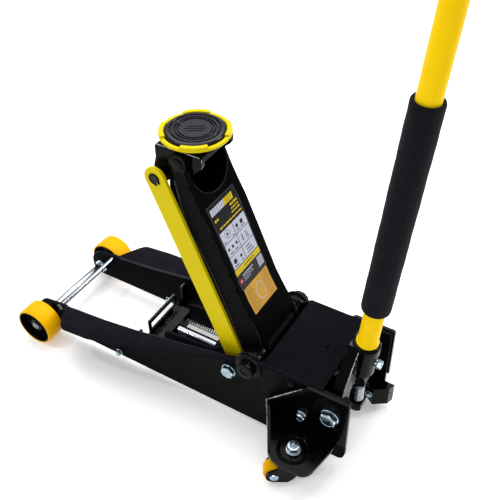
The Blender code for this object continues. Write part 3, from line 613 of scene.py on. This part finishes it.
ps, pt = in_arm(DRIVE_PIN)
lug = math.degrees(math.atan2(pt, ps))
outline = arc(ps, pt, 17, lug - 90, lug + 90, 24)
outline += [(40, -47), (110, -46), (290, -46), (325, -30), (ARM_LENGTH - 8, -18)]
outline += arc(ARM_LENGTH, 0, 16, -95, 84, 24)
outline += [(335, 8), (320, 7.6), (305, 7.6), (290, 8), (270, 9.4), (240, 12), (170, 13.2), (100, 14), (75, 16.4),
            (50, 20)]
outline += arc(0, 0, 26, 60, lug + 270, 24)
arm_axes = {"at": PIVOT, "u": ALONG, "v": ACROSS, "w": Y}
arm = piece("arm_body", add_prism(bmesh.new(), outline, -48.5, 48.5, **arm_axes), ARM_BLACK, "lift_arm",
            "lift_arm")
inside = [(-100, -110), (249, -110), (249, -42), (291, -42), (318, -29.6), (318, -110), (400, -110),
          (400, 2), (290, 2), (240, 6), (100, 8), (50, 14), (24, 17), (4, 60), (-100, 60)]
cut(arm, add_prism(bmesh.new(), inside, -42.5, 42.5, **arm_axes))
cut(arm, add_turned(bmesh.new(), [(-47.5, 23), (47.5, 23)], PIVOT, Y, segs=64), "UNION")
notch = [(ARM_LENGTH - 33 + 36.2 * u, 42.2 * v) for u, v in arc(0, 0, 1, 90, 270, 40)]
notch += [(420, -42.2), (420, 42.2)]
cut(arm, add_prism(bmesh.new(), notch, -6, 60, at=PIVOT, u=ALONG, v=Y, w=ACROSS))
add_bevel(arm, 1.6, 3, 40)

# pressed side panels with their rounded lower ridge
RIDGE = [(14, -29), (30, -28.5), (60, -27), (102, -26), (140, -25.6), (177, -26), (200, -27.4), (223, -29.6),
         (245, -30.4), (268, -28.6), (290, -25), (311, -20.5), (326, -17.6)]
for label, side in SIDES:
    outline = list(RIDGE) + arc(ARM_LENGTH, 0, 14.8, -120, 75, 20)
    outline += [(s, top_offset(s) - 5.5) for s in (335, 310, 290, 265, 240, 170, 100, 75, 50, 30)]
    outline += [(16, 12)]
    bm = add_prism(bmesh.new(), outline, side * 47.6, side * 51.0, **arm_axes)
    piece(label + "_arm_panel", bm, BAND, "lift_arm", bevel=2.4, bevel_segs=5)
    # a thin tube along the ridge in the lighter paint: a painted highlight
    lip = [PIVOT + ALONG * s + ACROSS * (t - 1.6) + Y * side * 49.0 for s, t in RIDGE]
    smooth = []
    for a, b in zip(lip, lip[1:]):
        smooth += [a.lerp(b, i / 4) for i in range(4)]
    smooth.append(lip[-1])
    piece(label + "_arm_ridge_highlight", add_tube(bmesh.new(), smooth, 1.7, 10), BEND_HIGHLIGHT, "lift_arm", sharp=80)
    # boss and pin of the saddle cradle
    rings = [(50.6, 0), (50.6, 13.6), (51.6, 13.2), (52.0, 12.2), (51.2, 10.8), (51.2, 9.6), (52.2, 9.2),
             (52.6, 8.0), (52.4, 0)]
    turned(label + "_cradle_boss", rings, ARM_TOP, out(side), GLOSS, "lift_arm", segs=64, sharp=22)
turned("cradle_rod", [(-50.4, 0), (-50.4, 8), (50.4, 8), (50.4, 0)], ARM_TOP, Y, GLOSS, "lift_arm", "cradle_pin")
turned("drive_rod", [(-52.6, 0), (-52.6, 6.6), (-51.4, 8), (51.4, 8), (52.6, 6.6), (52.6, 0)], DRIVE_PIN, Y,
       ZINC, "lift_arm", "drive_pin")


# ---------------------------------------------------------------- label on the arm

def arm_point(s, y, lift):
    return PIVOT + ALONG * s + ACROSS * (top_offset(s) + lift) + Y * y


def layer_heights(layer):
    """Underside and top of a printed layer above the arm's top face."""
    return 0.02, 0.12 + 0.14 * layer


def add_slab(bm, points, layer):
    """Thin closed patch on the arm's top face; points are (s, y)."""
    rows = [[bm.verts.new(arm_point(s, y, h)) for s, y in points] for h in layer_heights(layer)]
    bm.faces.new(rows[0])
    bm.faces.new(rows[1][::-1])
    add_walls(bm, *rows)


def add_panel(bm, s0, s1, y0, y1, layer):
    """Rectangle split where the arm's top face changes slope."""
    stops = [s0] + [k for k in (100, 240, 290) if s0 < k < s1] + [s1]
    rows = []
    for h in layer_heights(layer):
        left = [arm_point(s, y0, h) for s in stops]
        right = [arm_point(s, y1, h) for s in stops]
        rows.append([bm.verts.new(p) for p in left + right[::-1]])
    n = len(rows[0])
    m = len(stops)
    for row in rows:
        for k in range(m - 1):
            bm.faces.new((row[k], row[k + 1], row[n - 2 - k], row[n - 1 - k]))
    add_walls(bm, *rows)


def disc(s, y, r, n=20):
    return [(s + r * math.cos(2 * math.pi * i / n), y + r * math.sin(2 * math.pi * i / n)) for i in range(n)]


def stroke(s0, y0, s1, y1, width):
    d = Vector((s1 - s0, y1 - y0)).normalized() * width / 2
    return [(s0 - d.y, y0 + d.x), (s0 + d.y, y0 - d.x), (s1 + d.y, y1 - d.x), (s1 - d.y, y1 + d.x)]


LABEL_Y = (-43.0, 30.5)
LABEL_S = (121.5, 271.0)
# dark sheet with its thin border
bm = bmesh.new()
add_panel(bm, LABEL_S[0], LABEL_S[1], LABEL_Y[0], LABEL_Y[1], 0)
piece("label_border", bm, LABEL_FRAME, "lift_arm")
bm = bmesh.new()
add_panel(bm, LABEL_S[0] + 0.9, LABEL_S[1] - 1.1, LABEL_Y[0] + 1.1, LABEL_Y[1] - 1.1, 1)
piece("label_sheet", bm, LABEL_BASE, "lift_arm")

white, yellow, ink, red = (bmesh.new() for _ in range(4))
# plain two-tone bar of slanted blocks, where the original has wording
edge = -39.5
for k in range(10):
    width = 4.6 if k % 3 else 5.6
    target = white if k < 6 else yellow
    if edge + width > 27.5:
        break
    add_slab(target, [(254.0, edge), (254.0, edge + width), (264.5, edge + width + 1.6), (264.5, edge + 1.6)], 2)
    edge += width + 0.9
# short plain dashes under it
for s, start, lengths in ((247.0, 6.0, (4.0, 3.0, 5.0, 3.0)), (241.5, 5.0, (3.0, 4.5, 3.0, 5.0)),
                          (236.0, 3.0, (5.0, 3.0, 4.0, 6.0)), (229.0, -34.0, (8.0, 5.0, 9.0, 6.0, 8.0, 7.0, 9.0))):
    edge = start
    tall = 3.6 if s == 247.0 else 2.4
    for length in lengths:
        if edge + length > 27.0:
            break
        add_slab(yellow, [(s, edge), (s, edge + length), (s + tall, edge + length), (s + tall, edge)], 2)
        edge += length + 1.3
for y in (-36.0, -30.6):
    add_slab(yellow, disc(245.0, y, 2.2, 14), 2)
# grid of six cells with discs and bars that say nothing
GRID_S = (158.5, 180.8, 203.0, 225.0)
GRID_Y = (-40.5, -6.4, 28.0)
for i in range(3):
    for j in range(2):
        add_slab(white, [(GRID_S[i] + 0.55, GRID_Y[j] + 0.6), (GRID_S[i] + 0.55, GRID_Y[j + 1] - 0.6),
                         (GRID_S[i + 1] - 0.55, GRID_Y[j + 1] - 0.6), (GRID_S[i + 1] - 0.55, GRID_Y[j] + 0.6)], 2)


def ring_picture(s, y, r):
    n = 16
    for i in range(n):
        a, b = 2 * math.pi * i / n, 2 * math.pi * (i + 0.62) / n
        add_slab(ink, stroke(s + r * math.cos(a), y + r * math.sin(a), s + r * math.cos(b), y + r * math.sin(b),
                             1.0), 3)


def ink_bar(s, y0, y1, width):
    add_slab(ink, stroke(s, y0, s, y1, width), 3)


def ink_disc(s, y, r, n=14):
    add_slab(ink, disc(s, y, r, n), 3)


ring_picture(215.5, -24.0, 6.2)
ink_disc(215.5, -24.0, 2.3)
for y in (-35.5, -12.0):
    ink_bar(206.2, y - 2.6, y + 2.6, 1.7)
for y, r in ((1.5, 3.2), (14.5, 3.9)):
    ink_disc(214.5, y, r, 16)
for y, half in ((1.5, 3.4), (14.5, 5.6)):
    ink_bar(207.5, y - half, y + half, 1.4)
add_slab(ink, stroke(186.0, 3.5, 197.0, 3.5, 2.2), 3)
for k in range(4):
    ink_bar(186.0 + k * 3.2, 12.0, 19.0 - k, 1.1)
for y in (-34.0, -23.5, -13.0):
    ink_disc(193.0, y, 2.6)
for y in (-30.0, -17.0):
    ink_bar(185.0, y - 4.5, y + 4.5, 1.4)
ink_disc(170.0, -31.0, 4.2, 16)
ink_bar(162.5, -36.0, -26.0, 1.6)
ink_disc(170.0, -14.5, 2.8)
ink_bar(162.5, -16.5, -11.0, 1.6)
for k in range(3):
    ink_bar(164.0 + k * 5.0, 2.0, 19.0 - 3 * k, 1.4)
# plain strip, dot field, bars and disc below the grid
add_panel(yellow, 147.6, 157.6, -41.5, 28.5, 2)
for k in range(5):
    ink_bar(152.6, -16.0 + k * 5.6, -13.0 + k * 5.6, 2.6)
add_slab(white, [(127.5, 13.5), (127.5, 27.5), (144.5, 27.5), (144.5, 13.5)], 2)
for i in range(4):
    for j in range(4):
        ink_disc(130.4 + i * 3.7, 15.6 + j * 3.2, 0.95, 8)
for k, length in enumerate((30.0, 26.0, 28.0, 18.0)):
    add_slab(white, stroke(141.5 - k * 3.4, -29.0, 141.5 - k * 3.4, -29.0 + length, 0.8 if k else 1.5), 2)
add_slab(red, disc(135.0, -36.0, 4.6, 24), 2)
add_slab(white, disc(135.0, -36.0, 1.7, 14), 3)
piece("label_white_parts", white, LABEL_WHITE, "lift_arm")
piece("label_yellow_parts", yellow, LABEL_YELLOW, "lift_arm")
piece("label_ink_parts", ink, LABEL_INK, "lift_arm")
piece("label_red_dot", red, LABEL_RED, "lift_arm")
# plain orange sheet with faint lines and a rounded outline, which says nothing
bm = bmesh.new()
add_panel(bm, 72.5, 120.3, -39.5, 28.5, 1)
piece("sticker_sheet", bm, LABEL_ORANGE, "lift_arm")
lines, mark = bmesh.new(), bmesh.new()
for k in range(11):
    s = 76.5 + k * 4.0
    add_slab(lines, stroke(s, -35.5, s, -35.5 + (12.0 + 3.0 * (k % 3)), 0.6), 2)
    add_slab(lines, stroke(s, 11.0 - 2.0 * (k % 2), s, 25.0, 0.6), 2)
oval = arc(96.0, -5.0, 1.0, 0, 360, 28)
for (s0, y0), (s1, y1) in zip(oval, oval[1:]):
    a = (96.0 + (s0 - 96.0) * 15.0, -5.0 + (y0 + 5.0) * 10.0)
    b = (96.0 + (s1 - 96.0) * 15.0, -5.0 + (y1 + 5.0) * 10.0)
    add_slab(mark, stroke(*a, *b, 1.2), 2)
piece("sticker_lines", lines, LABEL_FRAME, "lift_arm")
piece("sticker_oval", mark, LABEL_WHITE, "lift_arm")

# ---------------------------------------------------------------- saddle

outline = [(274, 470), (274, 486.5), (275.6, 490.6), (279, 492), (353, 492), (356, 490.8), (357, 488), (357, 478),
           (354, 473), (345, 465), (339, 458)]
outline += arc(ARM_TOP.x, ARM_TOP.z, 19, -40, -100, 14)
outline += arc(BAR_TOP.x, BAR_TOP.z, 15, -40, -170, 24)
outline += [(270, 456), (272.5, 464)]
cradle = piece("cradle_body", add_prism(bmesh.new(), outline, -41, 41), GLOSS, "saddle_cradle", "saddle_cradle")
cut(cradle, add_prism(bmesh.new(), [(200, 380), (420, 380), (420, 484), (200, 484)], -35, 35))
add_bevel(cradle, 1.4, 3, 40)

rings = [(484.7, 0), (484.7, 9), (492.3, 9), (492.3, 30), (493.6, 35), (496.0, 44), (498.4, 49.2), (500.6, 52.4),
         (502.0, 53.4), (503.4, 53.6), (504.8, 53.2), (505.3, 52.4), (505.3, 48.2), (504.8, 47.2), (500.0, 46.8),
         (500.0, 0)]
turned("saddle_ring", rings, SADDLE, Z, LEMON, "saddle", "saddle_cup", segs=128, sharp=32)
bm = bmesh.new()
for k in range(4):
    middle = 31.6 + 90 * k
    outline = arc(0, 0, 53.0, middle - 23, middle + 23, 20) + arc(0, 0, 45.6, middle + 23, middle - 23, 20)
    add_prism(bm, outline, 503.5, 508.6, at=SADDLE, u=X, v=Y, w=Z)
piece("saddle_lugs", bm, LEMON, "saddle", bevel=0.9, bevel_segs=3)
rings = [(500.2, 0), (500.2, 45.2), (505.6, 45.0), (507.2, 44.2), (508.4, 42.6), (508.9, 40.6), (508.9, 38.3),
         (508.3, 37.8), (506.2, 37.4), (506.2, 35.8), (508.3, 35.3), (508.9, 34.8), (508.9, 31.8), (508.3, 31.3),
         (506.2, 31.0), (506.2, 29.3), (508.3, 28.9), (508.9, 28.4), (508.9, 27.3), (508.3, 26.8), (506.4, 26.5),
         (506.4, 24.9), (508.3, 24.5), (508.8, 24.0), (508.8, 0)]
turned("saddle_rubber", rings, SADDLE, Z, RUBBER, "saddle", "saddle_pad", segs=128, sharp=28)
# plain raised bars in the middle of the pad
bm = bmesh.new()
for k, (length, off) in enumerate(((22, -6.0), (30, 0.0), (22, 6.0))):
    turn = math.radians(31.6)
    u = Vector((math.cos(turn), math.sin(turn), 0))
    v = Vector((-math.sin(turn), math.cos(turn), 0))
    bar = arc(length / 2, off, 1.7, -90, 90, 8) + arc(-length / 2, off, 1.7, 90, 270, 8)
    add_prism(bm, bar, 508.4, 509.7, at=SADDLE, u=u, v=v, w=Z)
piece("saddle_bars", bm, RUBBER, "saddle", bevel=0.3, bevel_segs=2)

# ---------------------------------------------------------------- levelling bars

lean = math.degrees(math.atan2(BAR_TOP.z - BAR_LOW.z, BAR_TOP.x - BAR_LOW.x))
for label, side in SIDES:
    outline = arc(BAR_TOP.x, BAR_TOP.z, 18.5, lean - 90, lean + 90, 36)
    outline += arc(BAR_LOW.x, BAR_LOW.z, 18.5, lean + 90, lean + 270, 36)
    bm = add_prism(bmesh.new(), outline, side * 53, side * 59)
    body = label + "_levelling_bar"
    piece(label + "_lever_bar", bm, LEMON, body, label + "_levelling_bar", bevel=0.8, bevel_segs=3)
    axis = out(side)
    rings = [(31.5, 0), (31.5, 9.4), (32.1, 10), (34.4, 10), (34.4, 7), (59.0, 7), (59.0, 7.4), (60.4, 7.4),
             (61.0, 6.8), (61.0, 5.2), (60.2, 4.8), (60.2, 0)]
    turned(label + "_lever_pin", rings, BAR_TOP, axis, OLIVE, "saddle_cradle", label + "_bar_pin", segs=48,
           sharp=25)
    ring = [BAR_TOP + Vector((8.5 * math.cos(a), side * 59.9, 8.5 * math.sin(a)))
            for a in (math.radians(-28 + i * 10) for i in range(32))]
    bm = add_tube(bmesh.new(), ring, 0.95, 8)
    for a in (math.radians(-30), math.radians(284)):
        at = BAR_TOP + Vector((9.8 * math.cos(a), side * 59.2, 9.8 * math.sin(a)))
        add_turned(bm, [(0, 0), (0, 1.7), (1.5, 1.7), (1.5, 0)], at, axis, segs=16)
    piece(label + "_snap_ring", bm, NYLON, "saddle_cradle", sharp=50)

# ---------------------------------------------------------------- painted highlights along edges


def highlight_line(name, points, body, radius=0.8, mat=EDGE_HIGHLIGHT):
    """Thin uneven bead in bright paint, a painted highlight along an edge of the gloss paint."""
    dense = []
    for a, b in zip(points, points[1:]):
        steps = max(2, int((b - a).length / 2.5))
        dense += [a.lerp(b, i / steps) for i in range(steps)]
    dense.append(points[-1])
    radii = [radius * random.uniform(0.4, 1.15) for _ in dense]
    piece(name, add_tube(bmesh.new(), dense, radii, 6), mat, body, sharp=80)


highlight_line("member_edge", [Vector((209.9, y, 87.1)) for y in (-41, 0, 41)], "chassis", 0.8)
for label, side in SIDES:
    highlight_line(label + "_member_edge", [Vector((209.9, side * y, 87.1)) for y in (62, 75.5)], "chassis", 0.8)
    wall_edge = [Vector(p) for p in ((486, side * 89.3, 95), (550, side * 89.3, 162))]
    highlight_line(label + "_bracket_edge", wall_edge, "chassis", 1.0)
    rib = [Vector((486 + 0.506 * u, side * (86.4 + 0.8625 * u), 94.1)) for u in (4, 84)]
    highlight_line(label + "_rib_edge", rib, "chassis", 0.7)
    highlight_line(label + "_bracket_front", [Vector((486, side * 89.3, z)) for z in (74, 94)], "chassis", 0.4)
    leg = [Vector((609, side * y, z)) for y, z in ((20.6, 213.5), (56.4, 177.5), (64.4, 167.6))]
    highlight_line(label + "_leg_outer_edge", leg, "handle_yoke", 0.9)
    leg = [Vector((609, side * y, z)) for y, z in ((22, 152), (32, 149), (40, 141), (48, 122))]
    highlight_line(label + "_leg_inner_edge", leg, "handle_yoke", 0.8)
    highlight_line(label + "_cradle_edge", [Vector((x, side * 40.7, 491.6)) for x in (279, 353)], "saddle_cradle",
              0.8)
    highlight_line(label + "_cradle_front", [Vector((x, side * 40.8, z)) for x, z in ((355.8, 489.5), (356.6, 478),
                                                                               (353.6, 473))],
              "saddle_cradle", 0.4)
# the bead along the notch rim in lighter paint is a painted highlight
rim = [PIVOT + ALONG * (ARM_LENGTH - 33 + 36.6 * u) + ACROSS * (top_offset(ARM_LENGTH - 33 + 36.6 * u) - 0.1)
       + Y * 42.6 * v for u, v in arc(0, 0, 1, 98, 262, 30)]
highlight_line("notch_rim_highlight", rim, "lift_arm", 0.75, NOTCH_HIGHLIGHT)

# small bolts of the front webs and of the rear lug
for label, side in SIDES:
    hex_bolt(label + "_web_bolt", Vector((168, side * 82.3, 21.5)), side, 10.5, 7.0, 7.4, "chassis", phase=0.4)
    hex_bolt(label + "_web_nut", Vector((168, side * 75.7, 21.5)), -side, 10.5, 6.0, 7.0, "chassis", phase=0.2)
hex_bolt("lug_bolt", Vector((611, 52.0, 34)), -1, 10.0, 6.0, 6.6, "chassis", phase=0.3)

# ---------------------------------------------------------------- ram

RAM_Z = 46
SPRING_Y = 27
COIL_START, COIL_END = 247.6, 538.6
dress("ram_crosshead", GLOSS, 1.0, 3)
rod = [(217.2, 0), (217.2, 5.2), (218.2, 6.4), (222, 6.4), (246.6, 6.4), (246.6, 10.4), (247.4, 11), (424, 11),
       (426, 9), (426, 0)]
turned("ram_shaft", rod, (0, 0, RAM_Z), X, CHROME, "ram", "ram_rod", segs=64, sharp=25)
for tag, y, r in (("mid", 0, 9.6), ("left", -SPRING_Y, 7.6), ("right", SPRING_Y, 7.6)):
    turned("crosshead_nut_" + tag, [(217.6, 0), (217.6, r * 0.7), (218.4, r * 0.93), (219.6, -r), (225.9, -r),
           (225.9, 0)], (0, y, 46.5), X, GLOSS, "ram", phase=0.4, sharp=24)
for label, side in SIDES:
    dress(label + "_pull_bar", CHARCOAL, 0.8)
    coil_r, wire, turns = 4.1, 0.95, 62
    steps = turns * 14
    path = []
    for k in range(steps + 1):
        a = 2 * math.pi * turns * k / steps
        path.append(Vector((COIL_START + (COIL_END - COIL_START) * k / steps,
                            side * SPRING_Y + coil_r * math.cos(a), RAM_Z + 1 + coil_r * math.sin(a))))
    ob = piece(label + "_ram_spring", add_tube(bmesh.new(), path, wire, 6), SPRING, "chassis",
               label + "_return_spring", sharp=80)
    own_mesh(ob)
rings = [(539.4, 0), (539.4, 21), (344, 21), (342, 22.5), (338, 22.5), (334.6, 21), (334.2, 18), (334.2, 13.4),
         (345, 12.6), (346, 11.6), (515, 11.6), (515, 0)]
turned("cylinder_body", rings, (0, 0, RAM_Z), X, GLOSS, "chassis", "cylinder_tube", segs=72, sharp=25)

# ---------------------------------------------------------------- handle

half = [(-17, 217), (-20, 214), (-56, 178), (-64, 168), (-71, 158), (-72, 152), (-72, 120), (-70, 114),
        (-64, 112), (-54, 112), (-50, 116), (-48, 122), (-40, 141), (-32, 149), (-22, 152)]
face = half + [(-y, z) for y, z in half[::-1]]
bm = add_prism(bmesh.new(), face, 591, 609, u=Y, v=Z, w=X)
yoke = piece("yoke_body", bm, GLOSS, "handle_yoke", "handle_yoke")
cut(yoke, add_turned(bmesh.new(), [(0, 17.5), (60, 17.5)], FOOT + UP * 44, UP, segs=64))
add_bevel(yoke, 1.6, 3, 40)
for label, side in SIDES:
    rings = [(50.5, 9.6), (50.5, 14.8), (51.6, 16), (71.4, 16), (72.6, 14.8), (72.6, 9.6)]
    turned(label + "_yoke_boss", rings, YOKE, out(side), GLOSS, "handle_yoke", closed=True, segs=64, sharp=25)
rings = [(26, 0), (26, 19), (28, 21), (72, 21), (73, 22.2), (88, 22.2), (90.4, 20.8), (91, 19.4), (91, 16.6),
         (46, 16.6), (45, 0)]
turned("yoke_socket", rings, FOOT, UP, GLOSS, "handle_yoke", segs=72, sharp=25)
cam = [(604, 124), (606, 122.4), (609, 121.6), (616, 121.2), (619.5, 122.6), (621, 126), (621, 134), (612, 160),
       (600, 160), (596, 140)]
piece("yoke_cam", add_prism(bmesh.new(), cam, -9, 9), GLOSS, "handle_yoke", bevel=1.0, bevel_segs=3)
# clamp screw at the back of the socket
SIDEWAYS = Vector((UP.z, 0, -UP.x))
seat = FOOT + UP * 55 + SIDEWAYS * 20.6
rings = [(-3, 0), (-3, 6.2), (3, 6.2), (3.2, 7.4), (4.4, 7.8), (4.6, -6.4), (9.4, -6.4), (10.6, 5.6),
         (10.2, 3.4), (10.8, 0)]
turned("socket_screw", rings, seat, SIDEWAYS, ZINC, "handle_yoke", phase=0.3, sharp=24)

rings = [(46, 0), (46, 14), (48, 15.9), (91.6, 15.9), (92.0, 16.8), (93.4, 17.8), (95.6, 18.0), (97.6, 17.4),
         (98.8, 16.2), (100, 15.9), (1028, 15.9), (1030, 14), (1030, 0)]
turned("handle_bar", rings, FOOT, UP, YELLOW, "handle", "handle_tube", segs=72, sharp=30)

# foam sleeve: a soft tube with a slight taper, rounded mouths and faint dents
bm = bmesh.new()
rows, segs = [], 72
profile = [(170.5, 16.2), (168.6, 17.2), (167.8, 19.0), (168.2, 20.8), (169.8, 22.0), (172.5, 22.5)]
profile += [(172.5 + (517.5 - 172.5) * i / 46, 22.5 - 0.9 * i / 46) for i in range(1, 47)]
profile += [(519.6, 21.2), (521.2, 20.2), (521.8, 18.6), (521.2, 17.0), (519.8, 16.2)]
for h, r in profile:
    row = []
    for i in range(segs):
        a = 2 * math.pi * i / segs
        soft = 0.0
        if 173 < h < 517:
            soft = 0.16 * math.sin(h * 0.071 + 2 * math.sin(a)) + 0.12 * math.sin(h * 0.19 + 3 * a)
        spoke = SIDEWAYS * math.cos(a) + Y * math.sin(a)
        row.append(bm.verts.new(FOOT + UP * h + spoke * (r + soft)))
    rows.append(row)
for k in range(len(rows)):
    a, b = rows[k], rows[(k + 1) % len(rows)]
    for i in range(segs):
        j = (i + 1) % segs
        bm.faces.new((a[i], a[j], b[j], b[i]))
sleeve = piece("foam_grip", bm, FOAM, "handle", "foam_sleeve", sharp=70)

rings = [(902, 16.5), (902, 19.4), (903.2, 21.0), (906, 21.5)]
h = 908.0
while h < 1016:
    rings += [(h, 21.5), (h + 0.8, 20.5), (h + 2.2, 20.5), (h + 3.0, 21.4)]
    h += 6.0
rings += [(1020, 21.2), (1030, 20.2), (1033, 18.4), (1034, 16), (1034, 0)]
turned("handle_end", [(1030.4, 0), (1030.4, 16.5)] + rings, FOOT, UP, GRIP, "handle", "end_grip", segs=72,
       sharp=30)

# pump plunger, its spring and the release spindle
PLUNGER_X = 609
rings = [(54, 0), (54, 5), (54.6, 5.5), (112.8, 5.5), (112.8, 9.4), (113.4, 10), (118.8, 10), (119.8, 9.2), (120, 7),
         (120, 0)]
turned("plunger_rod", rings, (PLUNGER_X, 0, 0), Z, ZINC_DARK, "pump_plunger", "pump_plunger", sharp=25)
path = []
turns = 9
steps = turns * 24
for k in range(steps + 1):
    a = 2 * math.pi * turns * k / steps
    path.append(Vector((PLUNGER_X + 8.3 * math.cos(a), 8.3 * math.sin(a), 80.0 + 31.0 * k / steps)))
ob = piece("plunger_coil", add_tube(bmesh.new(), path, 1.25, 8), STEEL, "chassis", "plunger_spring", sharp=80)
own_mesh(ob)
dress("release_spindle", ZINC_DARK, 0.4)

# ---------------------------------------------------------------- floor, light and camera

floor_mesh = bpy.data.meshes.new("studio_floor")
REACH = 35
floor_mesh.from_pydata([(x * REACH, y * REACH, 0) for x, y in ((-1, -1), (1, -1), (1, 1), (-1, 1))], [],
                       [(0, 1, 2, 3)])
floor = add_object("studio_floor", floor_mesh)
floor_mat = bpy.data.materials.new("studio_floor")
floor_mat.use_nodes = True
floor_shader = floor_mat.node_tree.nodes["Principled BSDF"]
floor_shader.inputs["Base Color"].default_value = (0.90, 0.90, 0.90, 1)
floor_shader.inputs["Emission Color"].default_value = (1.0, 1.0, 1.0, 1)
floor_shader.inputs["Emission Strength"].default_value = 0.26
floor_shader.inputs["Roughness"].default_value = 0.9
floor_shader.inputs["Specular IOR Level"].default_value = 0.1
floor_mesh.materials.append(floor_mat)

world = bpy.data.worlds.new("studio")
bpy.context.scene.world = world
world.use_nodes = True
background = world.node_tree.nodes["Background"]
background.inputs["Color"].default_value = (1.0, 1.0, 1.0, 1)
background.inputs["Strength"].default_value = 0.55


def area_light(name, at, target, size, energy, size_y=None):
    data = bpy.data.lights.new(name, "AREA")
    data.energy = energy
    data.size = size
    if size_y:
        data.shape = "RECTANGLE"
        data.size_y = size_y
    ob = add_object(name, data)
    ob.location = at
    ob.rotation_euler = (Vector(target) - Vector(at)).to_track_quat("-Z", "Y").to_euler()


area_light("key", (-0.7, 1.0, 3.0), (0, 0, 0.1), 3.0, 95)
area_light("rim", (1.7, 1.6, 1.5), (0.1, 0, 0.3), 0.3, 22, 1.0)
area_light("spark_left", (-1.3, -0.8, 2.3), (0.1, 0, 0.2), 0.16, 9)
area_light("spark_front", (0.3, -1.9, 1.6), (0.1, 0, 0.2), 0.14, 6)
area_light("spark_back", (0.9, 1.5, 2.4), (0.1, 0, 0.2), 0.16, 8)

# camera fitted to the photograph's viewing angle
camera = add_object("camera", bpy.data.cameras.new("camera"))
right = Vector((0.85801, 0.51341, -0.01484))
upward = Vector((-0.32884, 0.57129, 0.75200))
back = Vector((0.39456, -0.64034, 0.65900))
rotation = Matrix((right, upward, back)).transposed()
spot = Vector(((864.35 - MID_X) * MM, -739.34 * MM, 1080.62 * MM))
camera.matrix_world = Matrix.Translation(spot) @ rotation.to_4x4()
camera.data.lens = 53.85
camera.data.sensor_width = 36.0
camera.data.shift_x = -0.0025
camera.data.shift_y = -0.0034
camera.data.clip_start = 0.02
camera.data.clip_end = 60.0
bpy.context.scene.camera = camera
bpy.context.scene.view_settings.view_transform = "Standard"
